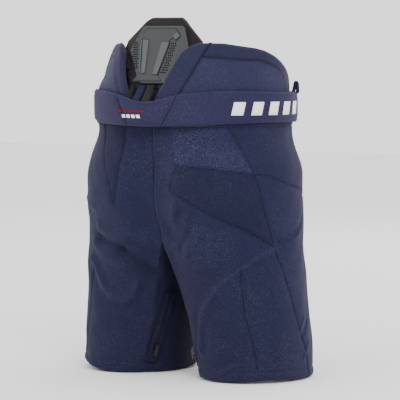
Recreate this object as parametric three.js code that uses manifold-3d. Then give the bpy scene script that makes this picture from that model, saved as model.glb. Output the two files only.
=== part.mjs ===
// Ice hockey pants with a raised spine guard, a wrap belt and zipped inner legs, in millimetres.
// The front of the garment faces -Y, the wearer's left is +X, and the hems stand on z = 0.
import Module from "manifold-3d";
import * as THREE from "three";
import { mergeVertices } from "three/addons/utils/BufferGeometryUtils.js";

const wasm = await Module();
wasm.setup();

// Overall sizes
const CROTCH_HEIGHT = 218;
const RISE = 212; // crotch to the lower edge of the belt
const HIP_HALF_WIDTH = 197;
const HIP_BACK_DEPTH = 147;
const HIP_FRONT_DEPTH = 137;
const WAIST_HALF_WIDTH = 176;
const WAIST_BACK_DEPTH = 134;
const WAIST_FRONT_DEPTH = 124;

// Seat
const SEAT_SECTION_POWER = 2.2; // 2 would be an ellipse
const SEAT_VALLEY_DEPTH = 24;
const WAIST_VALLEY_DEPTH = 9;
const SEAT_VALLEY_HALF_WIDTH = 45;
const THIGH_HALF_WIDTH = 202;
const THIGH_BACK_DEPTH = 124;
const THIGH_FRONT_DEPTH = 124;
const HIP_FULL_RISE = 85; // above the crotch
const WAIST_TAPER_START = 125;
const WAIST_TAPER_END = 205;
const CROTCH_END_RISE = 14; // the crotch seam climbs this far towards the front and the back
const THIGH_POWER = 2.5; // how late, going up, the round leg turns into the flatter seat
const SEAM_GAP = 0.8;

// Legs
const HEM_GAP = 56; // between the hems
const LEG_CENTRE_Y = -8;
const HEM_HALF_WIDTH = 93;
const HEM_HALF_DEPTH = 107;
const LEG_LEAN = 20; // the legs come together by this much on the way up
const LEG_CLEARANCE = 4; // each inner thigh keeps this far from the middle
const LEG_SPREAD = 9; // and grow wider and deeper by this much
const INNER_SEAM_ANGLE = 135; // degrees round the hem, from the outside, to the seat seam

// Cloth, foam and plastic layers, as depths below the outer face
const SHELL_THICKNESS = 3;
const LAYER_GAP = 0.5;
const CAP_THICKNESS = 2.5;
const FOAM_THICKNESS = 12;
const LINING_THICKNESS = 2.5;
const HEM_FACING_THICKNESS = 3;

// Hip joint: the seat ends, and the leg starts, on a cylinder about this axis
const HIP_AXIS_RISE = 88; // above the crotch
const HIP_AXIS_Y = 4;
const HIP_JOINT_MARGIN = 6; // the joint lies this far outside the deepest part of the seat
const HIP_JOINT_CLEARANCE = 0.6;
const HIP_JOINT_SIDES = 48;

// Belt
const BELT_SECTION_POWER = 2;
const BELT_SIDE_EASE = 5; // how far the belt stands off the waist
const BELT_BACK_EASE = 15;
const BELT_FRONT_EASE = 16;
const BELT_SIDE_HEIGHT = 54;
const BELT_BACK_HEIGHT = 41;
const BELT_DIP_HALF_WIDTH = 62;
const BELT_THICKNESS = 5.5;
const BELT_SEAM_TOP_X = 61;
const BELT_SEAM_BOTTOM_X = 33;
const BELT_END_X = 20;
const BELT_OVER_SHELL = 7; // how far the belt hangs below the top of the shell
const TAB_REACH = 62;
const TAB_HEIGHT = 38;
const TAB_THICKNESS = 3;
const BELT_LOOP_ANGLE = 143;
const BELT_LOOP_WIDTH = 14;
const BELT_LOOP_HEIGHT = 44;
const BELT_LOOP_RISE = 22; // above the belt
const BELT_LOOP_THICKNESS = 5;

// Kidney wings, inside the belt
const WING_BELT_GAP = 1; // at the foot of the wings
const WING_SIDE_INSET = 5; // from the belt, at its upper edge
const WING_FRONT_INSET = 14;
const WING_BACK_LEAN = 19; // how far the top edge comes in
const WING_CORNER_LEAN = 24;
const WING_FRONT_LEAN = 10;
const WING_CORNER_ANGLE = 60;
const WING_LEAN_POWER = 1.7;
const WING_BACK_RISE = 84; // above the upper edge of the belt
const WING_SIDE_RISE = 74;
const WING_FRONT_DROP = 18; // below the upper edge of the belt
const WING_START_ANGLE = 18;
const WING_SIDE_START = 40;
const WING_SIDE_END = 95;
const WING_SLOPE_START = 84;
const WING_SLOPE_END = 150;
const WING_FRONT_ANGLE = 138;
const WING_COVER_THICKNESS = 2.5;
const WING_FOAM_THICKNESS = 9;
const WING_STRIP_WIDTH = 34;
const WING_STRAP_CLEARANCE = 1; // between the wings and the guard's straps
const WING_PLATE_CLEARANCE = 11; // between the wings and the guard's plate

// Spine guard, laid out flat from its hinge line and then leaned forward
const GUARD_RISE = 7; // from the upper edge of the belt to the hinge line
const GUARD_INSET = 23; // from the inner face of the belt to the hinge line
const GUARD_LEAN = 20;
// Half-widths and heights, upwards from the foot
const GUARD_FOAM_OUTLINE = [[34, 0], [64, 32], [80, 65], [80, 86], [56, 112], [34, 130]];
const GUARD_FOAM_THICKNESS = 14;
const GUARD_PLATE_OUTLINE = [[24, 0], [34, 9], [60, 62], [42, 103]];
const GUARD_PLATE_FOOT = 8;
const GUARD_PLATE_THICKNESS = 6;
const GUARD_RIB_LENGTH = 56;
const GUARD_RIB_WIDTH = 12;
const GUARD_RIB_HEIGHT = 4;
const GUARD_RIB_SPREAD = 15;
const GUARD_RIB_SPLAY = 9;
const GUARD_RIB_MIDDLE = 52; // above the foot of the plate
const GUARD_CURL_ANGLE = 14; // the sides of the foam turn forward
const GUARD_CURL_START = 42;
const STRAP_WIDTH = 18;
const STRAP_THICKNESS = 2.5;
const STRAP_SPACING = 24;
const STRAP_FOOT = 15; // above the lower edge of the belt
const STRAP_LAP = 4; // the straps lie this far over the back of the guard's foot
const STRAP_BEND = 6; // below the upper edge of the belt
const STRAP_BEND_STAGGER = 2; // from one face of the strap to the other

// Pads
const HIP_PAD_COLUMNS = [7, 12];
const HIP_PAD_ROWS = [6, 10];
const THIGH_PAD_COLUMNS = [8, 16];
const THIGH_PAD_ROWS = [1, 5];
const TAIL_PAD_HALF_WIDTH = 42;
const TAIL_PAD_ROWS = [7, 10];
const TAIL_PAD_CORNER = 19;
const GUSSET_HALF_WIDTH = 16;
const GUSSET_THICKNESS = 3;

// Waistband and suspender buttons
const WAISTBAND_COLUMNS = [1, 17];
const WAISTBAND_THICKNESS = 3;
const BUTTON_RADIUS = 8.5;
const BUTTON_THICKNESS = 4;
const BUTTON_COLUMNS = [2, 12, 15];
const BUTTON_SIDES = 16;

// Fly
const FLY_SLIT_HALF_WIDTH = 7;
const FLY_HEIGHT = 92;
const TONGUE_HALF_WIDTH = 30;
const TONGUE_THICKNESS = 4;
const EYELET_RADIUS = 6;
const EYELET_HOLE_RADIUS = 3;
const EYELET_THICKNESS = 1.6;
const EYELET_ROWS = [8, 9];
const EYELET_SIDES = 12;
const LACE_RADIUS = 2;

// Inner leg zippers
const ZIP_BOTTOM = [0.95, 0.07]; // shares round the inner thigh and up the inseam
const ZIP_TOP = [0.82, 0.62];
const ZIP_INSET = 1.5; // below the face of the cloth
const ZIP_FACE_ANGLE = 148; // direction that the tape faces, seen from above
const ZIP_TAPE_WIDTH = 18;
const ZIP_TAPE_THICKNESS = 5;
const ZIP_SLOT_CLEARANCE = 0.5;
const SLIDER_LENGTH = 11;
const SLIDER_WIDTH = 9;
const SLIDER_THICKNESS = 4;
const SLIDER_REST = 22; // above the lower end of the tape
const PULL_PIVOT = 7.7; // above the lower end of the slider
const PULL_LENGTH = 17;
const PULL_WIDTH = 6;
const PULL_THICKNESS = 1.6;

// The garment is laid out in cells: columns run round each half from the middle of the back to
// the middle of the front and on round the inner thigh, and rows run up from the hem.
const OUTER_COLUMNS = 18;
const INNER_COLUMNS = 6;
const LEG_ROWS = 5;
const TORSO_ROWS = 6;
const WING_COLUMNS = 12;
const WING_STRIP_COLUMNS = 2;
const WING_ROWS = 5;
const BELT_ROWS = 3;
const BELT_BACK_COLUMNS = 8;
const BELT_SIDE_COLUMNS = 16;
const TAB_COLUMNS = 10;
const SLOPE_STEP = 0.01; // share of a sheet over which its direction is measured
const WELD_DISTANCE = 1e-4;

// Values that follow from the sizes above
const BELT_BOTTOM = CROTCH_HEIGHT + RISE;
const BELT_TOP = BELT_BOTTOM + BELT_SIDE_HEIGHT;
const BELT_HALF_WIDTH = WAIST_HALF_WIDTH + BELT_SIDE_EASE;
const BELT_BACK_DEPTH = WAIST_BACK_DEPTH + BELT_BACK_EASE;
const BELT_FRONT_DEPTH = WAIST_FRONT_DEPTH + BELT_FRONT_EASE;
const WING_BACK_HEIGHT = BELT_TOP + WING_BACK_RISE;
const WING_OPENING_BOTTOM = STRAP_SPACING + STRAP_WIDTH / 2 + WING_STRAP_CLEARANCE;
const WING_OPENING_TOP = Math.max(...GUARD_PLATE_OUTLINE.map(([x]) => x)) + WING_PLATE_CLEARANCE;
const GUARD_HINGE_HEIGHT = BELT_TOP + GUARD_RISE;
const GUARD_HINGE_Y = BELT_BACK_DEPTH - GUARD_INSET;
const LEG_SPACING = HEM_HALF_WIDTH + HEM_GAP / 2; // middle of the garment to the middle of a hem
const HIP_AXIS_HEIGHT = CROTCH_HEIGHT + HIP_AXIS_RISE;
const HIP_JOINT_RADIUS = Math.max(HIP_BACK_DEPTH, HIP_FRONT_DEPTH) + HIP_JOINT_MARGIN;
const SHELL_TOP = BELT_BOTTOM + BELT_OVER_SHELL;
const JOIN_HEIGHT = CROTCH_HEIGHT + CROTCH_END_RISE;
const HEM_EDGE = HEM_FACING_THICKNESS + LAYER_GAP;
const CAP_DEPTH = SHELL_THICKNESS + LAYER_GAP;
const FOAM_DEPTH = CAP_DEPTH + CAP_THICKNESS + LAYER_GAP;
const LINING_DEPTH = FOAM_DEPTH + FOAM_THICKNESS + LAYER_GAP;
const LINING_FACE = LINING_DEPTH + LINING_THICKNESS;

const materials = {
  shell: new THREE.MeshStandardMaterial({ color: 0x353a5a, roughness: 0.8, metalness: 0 }),
  lining: new THREE.MeshStandardMaterial({ color: 0x1d2030, roughness: 0.9, metalness: 0 }),
  foam: new THREE.MeshStandardMaterial({ color: 0x4c4f55, roughness: 0.95, metalness: 0 }),
  cap: new THREE.MeshStandardMaterial({ color: 0x2b2c30, roughness: 0.45, metalness: 0 }),
  guardCloth: new THREE.MeshStandardMaterial({ color: 0x373232, roughness: 0.9, metalness: 0 }),
  guardPlate: new THREE.MeshStandardMaterial({ color: 0x484a4c, roughness: 0.5, metalness: 0 }),
  belt: new THREE.MeshStandardMaterial({ color: 0x3b3f60, roughness: 0.8, metalness: 0 }),
  webbing: new THREE.MeshStandardMaterial({ color: 0x3c3d33, roughness: 0.85, metalness: 0 }),
  lace: new THREE.MeshStandardMaterial({ color: 0xe4e4e2, roughness: 0.8, metalness: 0 }),
  button: new THREE.MeshStandardMaterial({ color: 0x17181b, roughness: 0.35, metalness: 0 }),
  metal: new THREE.MeshStandardMaterial({ color: 0x6e7075, roughness: 0.35, metalness: 1 }),
};

const mix = THREE.MathUtils.lerp;
const radians = THREE.MathUtils.degToRad;
const smooth = (value, low, high) => THREE.MathUtils.smoothstep(value, low, high);

// Mesh helpers

function plain(geometry) {
  const bare = geometry.clone();
  bare.deleteAttribute("normal");
  bare.deleteAttribute("uv");
  return mergeVertices(bare, WELD_DISTANCE);
}

function meshFrom(points, faces) {
  const geometry = new THREE.BufferGeometry();
  const numbers = points.flatMap((point) => point.toArray());
  geometry.setAttribute("position", new THREE.Float32BufferAttribute(numbers, 3));
  geometry.setIndex(faces.flat());
  return geometry;
}

function mirrored(geometry) {
  const copy = plain(geometry);
  copy.scale(-1, 1, 1);
  const index = copy.getIndex();
  for (let i = 0; i < index.count; i += 3) {
    const second = index.getX(i + 1);
    index.setX(i + 1, index.getX(i + 2));
    index.setX(i + 2, second);
  }
  return copy;
}

function toManifold(geometry) {
  const bare = plain(geometry);
  return new wasm.Manifold(new wasm.Mesh({
    numProp: 3,
    vertProperties: Float32Array.from(bare.getAttribute("position").array),
    triVerts: Uint32Array.from(bare.getIndex().array),
  }));
}

function fromManifold(manifold) {
  const mesh = manifold.getMesh();
  const geometry = new THREE.BufferGeometry();
  const numbers = Float32Array.from(mesh.vertProperties);
  geometry.setAttribute("position", new THREE.BufferAttribute(numbers, 3));
  geometry.setIndex([...mesh.triVerts]);
  return geometry;
}

// Closes a sheet of faces into a solid between two depths below its outer face.
function thicken({ points, normals, faces }, outerDepth, innerDepth) {
  const count = points.length;
  const outer = points.map((point, i) => point.clone().addScaledVector(normals[i], -outerDepth));
  const inner = points.map((point, i) => point.clone().addScaledVector(normals[i], -innerDepth));
  const edges = new Set(faces.flatMap(([a, b, c]) => [`${a}_${b}`, `${b}_${c}`, `${c}_${a}`]));
  const walls = [];
  for (const edge of edges) {
    const [a, b] = edge.split("_").map(Number);
    if (!edges.has(`${b}_${a}`)) {
      walls.push([b, a, a + count], [b, a + count, b + count]);
    }
  }
  const back = faces.map(([a, b, c]) => [c + count, b + count, a + count]);
  return meshFrom([...outer, ...inner], [...faces, ...back, ...walls]);
}

const quad = (a, b, c, d) => [[a, b, c], [a, c, d]];

// A sheet over shares s (along) and h (up), each from 0 to 1; its outer face is on the left of s.
function sheet(pointAt, columns, rows) {
  const points = [];
  const normals = [];
  const faces = [];
  for (let row = 0; row <= rows; row += 1) {
    for (let column = 0; column <= columns; column += 1) {
      const s = column / columns;
      const h = row / rows;
      const along = pointAt(s + SLOPE_STEP, h).sub(pointAt(s - SLOPE_STEP, h));
      points.push(pointAt(s, h));
      normals.push(new THREE.Vector3(-along.y, along.x, 0).normalize());
      if (row < rows && column < columns) {
        const here = row * (columns + 1) + column;
        const above = here + columns + 1;
        faces.push(...quad(here, above, above + 1, here + 1));
      }
    }
  }
  return { points, normals, faces };
}

function prism(outline, thickness) {
  const shape = new THREE.Shape(outline.map(([x, y]) => new THREE.Vector2(x, y)));
  return new THREE.ExtrudeGeometry(shape, { depth: thickness, bevelEnabled: false });
}

// Turns a side profile, given as pairs of y and z, into a band about the middle of the garment.
function band(profile, width) {
  const solid = prism(profile, width);
  solid.translate(0, 0, -width / 2);
  return solid.applyMatrix4(new THREE.Matrix4().makeBasis(
    new THREE.Vector3(0, 1, 0), new THREE.Vector3(0, 0, 1), new THREE.Vector3(1, 0, 0)));
}

// Outer surface of the garment's left half

function roundPoint(angle, halfWidth, depth, z, sectionPower) {
  const power = 2 / sectionPower;
  const x = halfWidth * Math.sign(Math.sin(angle)) * Math.abs(Math.sin(angle)) ** power;
  const y = depth * Math.sign(Math.cos(angle)) * Math.abs(Math.cos(angle)) ** power;
  return new THREE.Vector3(x, y, z);
}

function torsoPoint(turn, z) {
  const angle = Math.PI * turn;
  const back = Math.cos(angle) > 0;
  const hips = smooth(z, JOIN_HEIGHT, CROTCH_HEIGHT + HIP_FULL_RISE);
  const waist = smooth(z, CROTCH_HEIGHT + WAIST_TAPER_START, CROTCH_HEIGHT + WAIST_TAPER_END);
  const halfWidth = mix(mix(THIGH_HALF_WIDTH, HIP_HALF_WIDTH, hips), WAIST_HALF_WIDTH, waist);
  const depth = back
    ? mix(mix(THIGH_BACK_DEPTH, HIP_BACK_DEPTH, hips), WAIST_BACK_DEPTH, waist)
    : mix(mix(THIGH_FRONT_DEPTH, HIP_FRONT_DEPTH, hips), WAIST_FRONT_DEPTH, waist);
  const point = roundPoint(angle, halfWidth, depth, z, SEAT_SECTION_POWER);
  if (back) {
    const valley = mix(SEAT_VALLEY_DEPTH, WAIST_VALLEY_DEPTH, waist);
    point.y -= valley * Math.exp(-((point.x / SEAT_VALLEY_HALF_WIDTH) ** 2));
  }
  point.x = Math.max(point.x, SEAM_GAP / 2);
  return point;
}

function legPoint(angle, rise, z) {
  const x = LEG_SPACING - LEG_LEAN * rise + (HEM_HALF_WIDTH + LEG_SPREAD * rise) * Math.cos(angle);
  const y = LEG_CENTRE_Y + (HEM_HALF_DEPTH + LEG_SPREAD * rise) * Math.sin(angle);
  return new THREE.Vector3(Math.max(x, LEG_CLEARANCE), y, z);
}

const seatShare = (rise) => THREE.MathUtils.clamp(rise, 0, 1) ** THIGH_POWER;

// A point on the outside of the garment: turn 0 is the middle of the back and 1 of the front.
function outerPoint(turn, z) {
  if (z >= JOIN_HEIGHT) {
    return torsoPoint(turn, z);
  }
  const rise = z / JOIN_HEIGHT;
  const leg = legPoint(radians(INNER_SEAM_ANGLE) * (1 - 2 * turn), rise, z);
  const seat = torsoPoint(turn, JOIN_HEIGHT).setZ(z);
  return leg.lerp(seat, seatShare(rise));
}

// A point on the inner thigh: share 0 is under the front seam and 1 under the back seam.
function innerPoint(share, rise) {
  const front = torsoPoint(1, JOIN_HEIGHT);
  const back = torsoPoint(0, JOIN_HEIGHT);
  const top = front.lerp(back, share);
  top.z = CROTCH_HEIGHT + CROTCH_END_RISE * Math.abs(2 * share - 1) ** THIGH_POWER;
  const z = mix(HEM_EDGE, top.z, rise);
  const arc = 360 - 2 * INNER_SEAM_ANGLE;
  const leg = legPoint(radians(-INNER_SEAM_ANGLE - arc * share), rise, z);
  return leg.lerp(top.setZ(z), seatShare(rise));
}

// Height of the lower edge of a row of cells on the outside of the garment
function rowHeight(row) {
  return row <= LEG_ROWS
    ? mix(HEM_EDGE, JOIN_HEIGHT, row / LEG_ROWS)
    : mix(JOIN_HEIGHT, SHELL_TOP, (row - LEG_ROWS) / TORSO_ROWS);
}

// The left half as one sheet, from the hem over the thigh and up to the waist.
function halfBody() {
  const loops = [];
  for (let row = 0; row <= LEG_ROWS; row += 1) {
    const rise = row / LEG_ROWS;
    const z = rowHeight(row);
    const loop = [];
    for (let column = 0; column <= OUTER_COLUMNS; column += 1) {
      loop.push(outerPoint(column / OUTER_COLUMNS, z));
    }
    for (let column = 1; column < INNER_COLUMNS; column += 1) {
      loop.push(innerPoint(column / INNER_COLUMNS, rise));
    }
    loops.push(loop);
  }
  for (let row = LEG_ROWS + 1; row <= LEG_ROWS + TORSO_ROWS; row += 1) {
    const z = rowHeight(row);
    const loop = [];
    for (let column = 0; column <= OUTER_COLUMNS; column += 1) {
      loop.push(torsoPoint(column / OUTER_COLUMNS, z));
    }
    loops.push(loop);
  }
  const points = loops.flat();
  const normals = [];
  const cells = [];
  let start = 0;
  loops.forEach((loop, row) => {
    const closed = row <= LEG_ROWS;
    loop.forEach((point, column) => {
      const before = closed ? (column + loop.length - 1) % loop.length : Math.max(column - 1, 0);
      const after = closed ? (column + 1) % loop.length : Math.min(column + 1, loop.length - 1);
      const along = loop[after].clone().sub(loop[before]);
      const end = !closed && (column === 0 || column === OUTER_COLUMNS);
      normals.push(end
        ? new THREE.Vector3(0, Math.sign(point.y), 0)
        : new THREE.Vector3(-along.y, along.x, 0).normalize());
    });
    const wide = row < LEG_ROWS ? loop.length : OUTER_COLUMNS;
    if (row < loops.length - 1) {
      for (let column = 0; column < wide; column += 1) {
        const next = (column + 1) % loop.length;
        const above = start + loop.length;
        const corners = [start + column, above + column, above + next, start + next];
        cells.push({ row, column, corners });
      }
    }
    start += loop.length;
  });
  return { points, normals, cells, faces: cells.flatMap((cell) => quad(...cell.corners)) };
}

// A block of cells between two depths.
function bodyPad(body, columns, rows, outerDepth, innerDepth) {
  const between = (value, [low, high]) => value >= low && value < high;
  const inside = ({ row, column }) => between(row, rows) && between(column, columns);
  const faces = body.cells.filter(inside).flatMap((cell) => quad(...cell.corners));
  return thicken({ ...body, faces }, outerDepth, innerDepth);
}

// Places a geometry whose axis is +Z on the middle of a cell, its foot at a depth, facing out (1)
// or in (-1).
function onCell(body, geometry, column, row, depth, facing = 1) {
  const { corners } = body.cells.find((cell) => cell.row === row && cell.column === column);
  const [low, high, highNext, lowNext] = corners.map((corner) => body.points[corner]);
  const centre = low.clone().add(high).add(highNext).add(lowNext).divideScalar(corners.length);
  const up = high.clone().add(highNext).sub(low).sub(lowNext).normalize();
  const out = up.clone().cross(lowNext.clone().add(highNext).sub(low).sub(high)).normalize();
  const across = up.clone().cross(out);
  const spot = centre.addScaledVector(out, -depth);
  const basis = new THREE.Matrix4().makeBasis(
    across.multiplyScalar(facing), up, out.clone().multiplyScalar(facing)).setPosition(spot);
  return { geometry: geometry.clone().applyMatrix4(basis), spot, out };
}

// Cutters that part the seat from the legs

function hipCylinder(radius) {
  const reach = 4 * THIGH_HALF_WIDTH;
  const drum = new THREE.CylinderGeometry(radius, radius, reach, HIP_JOINT_SIDES);
  drum.rotateZ(Math.PI / 2);
  drum.translate(0, HIP_AXIS_Y, HIP_AXIS_HEIGHT);
  const height = 2 * RISE;
  const above = new THREE.BoxGeometry(reach, reach, height);
  above.translate(0, 0, HIP_AXIS_HEIGHT + height / 2);
  return toManifold(drum).add(toManifold(above));
}

const seatRegion = hipCylinder(HIP_JOINT_RADIUS);
const legLimit = hipCylinder(HIP_JOINT_RADIUS + HIP_JOINT_CLEARANCE);

const onSeat = (geometry) => fromManifold(toManifold(geometry).intersect(seatRegion));
const onLeg = (geometry) => fromManifold(toManifold(geometry).subtract(legLimit));

// Parts list: each body is a group of named meshes

const model = new THREE.Group();
const bodies = {};
for (const name of ["hips", "spine_guard", "belt_tab", "leg_left", "leg_right", "slider_left", "slider_right",
  "pull_left", "pull_right"]) {
  bodies[name] = new THREE.Group();
  model.add(bodies[name]);
}

function add(body, name, geometry, material) {
  const mesh = new THREE.Mesh(plain(geometry), material);
  mesh.name = name;
  bodies[body].add(mesh);
}

function addPair(body, name, geometry, material) {
  const ownBody = body === "hips";
  add(ownBody ? body : `${body}_left`, `${name}_left`, geometry, material);
  add(ownBody ? body : `${body}_right`, `${name}_right`, mirrored(geometry), material);
}

// Seat, lining, gusset and pads between them

function zipFrame() {
  const bottom = innerPoint(...ZIP_BOTTOM);
  const up = innerPoint(...ZIP_TOP).sub(bottom);
  const length = up.length();
  up.normalize();
  const face = new THREE.Vector3(Math.cos(radians(ZIP_FACE_ANGLE)), Math.sin(radians(ZIP_FACE_ANGLE)), 0);
  face.addScaledVector(up, -face.dot(up)).normalize();
  const across = new THREE.Vector3().crossVectors(up, face);
  bottom.addScaledVector(face, -ZIP_INSET);
  return { length, matrix: new THREE.Matrix4().makeBasis(across, up, face).setPosition(bottom) };
}

const zip = zipFrame();

// A box in the zipper's own directions: across, along from its lower end, and out of the leg.
function zipBox(width, from, to, back, front) {
  const box = new THREE.BoxGeometry(width, to - from, front - back);
  box.translate(0, (from + to) / 2, (front + back) / 2);
  return box.applyMatrix4(zip.matrix);
}

function flySlit() {
  const slit = new THREE.BoxGeometry(2 * FLY_SLIT_HALF_WIDTH, HIP_FRONT_DEPTH, FLY_HEIGHT * 2);
  slit.translate(0, -HIP_FRONT_DEPTH, SHELL_TOP);
  return toManifold(slit);
}

const body = halfBody();

function addSeat() {
  const slit = flySlit();
  const slot = toManifold(zipBox(ZIP_TAPE_WIDTH + 2 * ZIP_SLOT_CLEARANCE, -ZIP_SLOT_CLEARANCE,
    zip.length + ZIP_SLOT_CLEARANCE, -LINING_DEPTH, LINING_DEPTH));
  const shell = toManifold(thicken(body, 0, SHELL_THICKNESS));
  const lining = toManifold(thicken(body, LINING_DEPTH, LINING_FACE));
  addPair("hips", "seat_shell", fromManifold(shell.intersect(seatRegion).subtract(slit)), materials.shell);
  addPair("hips", "seat_lining", fromManifold(lining.intersect(seatRegion).subtract(slit)), materials.lining);
  addPair("leg", "leg_shell", fromManifold(shell.subtract(legLimit).subtract(slot)), materials.shell);
  addPair("leg", "leg_lining", fromManifold(lining.subtract(legLimit)), materials.lining);
}

function addGusset() {
  const seam = Array.from({ length: INNER_COLUMNS - 1 }, (_, i) => innerPoint((i + 1) / INNER_COLUMNS, 1));
  const under = seam.map((p) => [p.y, p.z + LAYER_GAP]);
  const over = seam.map((p) => [p.y, p.z + LAYER_GAP + GUSSET_THICKNESS]).reverse();
  add("hips", "crotch_gusset", band([...under, ...over], 2 * GUSSET_HALF_WIDTH), materials.lining);
}

function addPads() {
  const pads = [
    ["hips", "hip_pad", HIP_PAD_COLUMNS, HIP_PAD_ROWS, onSeat],
    ["leg", "thigh_pad", THIGH_PAD_COLUMNS, THIGH_PAD_ROWS, onLeg],
  ];
  for (const [owner, name, columns, rows, cut] of pads) {
    const foam = bodyPad(body, columns, rows, FOAM_DEPTH, FOAM_DEPTH + FOAM_THICKNESS);
    const cap = bodyPad(body, columns, rows, CAP_DEPTH, CAP_DEPTH + CAP_THICKNESS);
    addPair(owner, `${name}_foam`, cut(foam), materials.foam);
    addPair(owner, `${name}_cap`, cut(cap), materials.cap);
  }
}

function addTailPad() {
  const [low, high] = TAIL_PAD_ROWS.map(rowHeight);
  const height = high - low;
  const shallowest = Math.min(torsoPoint(0, low).y, torsoPoint(0, high).y);
  const face = shallowest - LINING_FACE - LAYER_GAP;
  const corner = TAIL_PAD_CORNER;
  const outline = [
    [-TAIL_PAD_HALF_WIDTH, corner], [-corner, 0], [corner, 0], [TAIL_PAD_HALF_WIDTH, corner],
    [TAIL_PAD_HALF_WIDTH, height - corner], [corner, height],
    [-corner, height], [-TAIL_PAD_HALF_WIDTH, height - corner],
  ];
  const layers = [
    ["tailbone_cap", face, CAP_THICKNESS, materials.cap],
    ["tailbone_foam", face - CAP_THICKNESS - LAYER_GAP, FOAM_THICKNESS, materials.foam],
  ];
  for (const [name, y, thickness, material] of layers) {
    const slab = prism(outline, thickness);
    slab.rotateX(Math.PI / 2);
    slab.translate(0, y, low);
    add("hips", name, slab, material);
  }
}

// Kidney wings

// Angle from the back at which a belt-shaped section reaches a given x
const angleAt = (x, halfWidth) => Math.asin((x / halfWidth) ** (BELT_SECTION_POWER / 2));

function wingTop(degrees) {
  const side = mix(WING_BACK_RISE, WING_SIDE_RISE, smooth(degrees, WING_SIDE_START, WING_SIDE_END));
  const rise = mix(side, -WING_FRONT_DROP, smooth(degrees, WING_SLOPE_START, WING_SLOPE_END));
  return BELT_TOP + rise;
}

const overBelt = (z) => Math.max(0, z - BELT_TOP) / WING_BACK_RISE;

// Half-width and depth of the wings at a height and, in degrees from the back, a direction
function wingSize(degrees, z) {
  const inset = smooth(z, SHELL_TOP, BELT_TOP);
  const corner = mix(WING_BACK_LEAN, WING_CORNER_LEAN, smooth(degrees, 0, WING_CORNER_ANGLE));
  const around = mix(corner, WING_FRONT_LEAN, smooth(degrees, WING_CORNER_ANGLE, 2 * WING_CORNER_ANGLE));
  const lean = around * overBelt(z) ** WING_LEAN_POWER;
  const halfWidth = BELT_HALF_WIDTH - mix(WING_BELT_GAP, WING_SIDE_INSET, inset) - lean;
  const depth = degrees < 90
    ? BELT_BACK_DEPTH - WING_BELT_GAP - lean
    : BELT_FRONT_DEPTH - mix(WING_BELT_GAP, WING_FRONT_INSET, inset) - lean;
  return [halfWidth, depth];
}

function wingSheet(fromShare, toShare, columns) {
  const foot = SHELL_TOP + LAYER_GAP;
  const pointAt = (s, h) => {
    const share = mix(fromShare, toShare, s);
    const z = mix(foot, wingTop(mix(WING_START_ANGLE, WING_FRONT_ANGLE, share)), h);
    const opening = mix(WING_OPENING_BOTTOM, WING_OPENING_TOP, overBelt(z));
    const start = angleAt(opening, wingSize(WING_START_ANGLE, z)[0]);
    const angle = mix(start, radians(WING_FRONT_ANGLE), share);
    return roundPoint(angle, ...wingSize(THREE.MathUtils.radToDeg(angle), z), z, BELT_SECTION_POWER);
  };
  return sheet(pointAt, columns, WING_ROWS);
}

function addWings() {
  const arc = BELT_HALF_WIDTH * radians(WING_FRONT_ANGLE);
  const strip = WING_STRIP_WIDTH / arc;
  const gap = LAYER_GAP / arc;
  const cover = [0, WING_COVER_THICKNESS, materials.shell];
  const face = WING_COVER_THICKNESS + LAYER_GAP;
  const pieces = [
    ["wing_back_strip", wingSheet(0, strip, WING_STRIP_COLUMNS), ...cover],
    ["wing_cover", wingSheet(strip + gap, 1, WING_COLUMNS), ...cover],
    ["wing_foam", wingSheet(0, 1, WING_COLUMNS + 1), face, face + WING_FOAM_THICKNESS, materials.foam],
  ];
  for (const [name, surface, outerDepth, innerDepth, material] of pieces) {
    addPair("hips", name, thicken(surface, outerDepth, innerDepth), material);
  }
}

// Belt, its closing tab and its loops

function beltPoint(angle, z, out) {
  const depth = Math.cos(angle) > 0 ? BELT_BACK_DEPTH : BELT_FRONT_DEPTH;
  return roundPoint(angle, BELT_HALF_WIDTH + out, depth + out, z, BELT_SECTION_POWER);
}

function beltTop(x, back) {
  const dip = back ? BELT_SIDE_HEIGHT - BELT_BACK_HEIGHT : 0;
  return BELT_TOP - dip * (1 - smooth(Math.abs(x), 0, BELT_DIP_HALF_WIDTH));
}

function beltPanel(startX, endX, columns) {
  const pointAt = (s, h) => {
    const from = startX(h);
    const angle = mix(from, endX(h), s);
    const x = beltPoint(angle, 0, 0).x;
    return beltPoint(angle, mix(BELT_BOTTOM, beltTop(x, Math.cos(angle) > 0), h), BELT_THICKNESS);
  };
  return thicken(sheet(pointAt, columns, BELT_ROWS), 0, BELT_THICKNESS);
}

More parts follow.
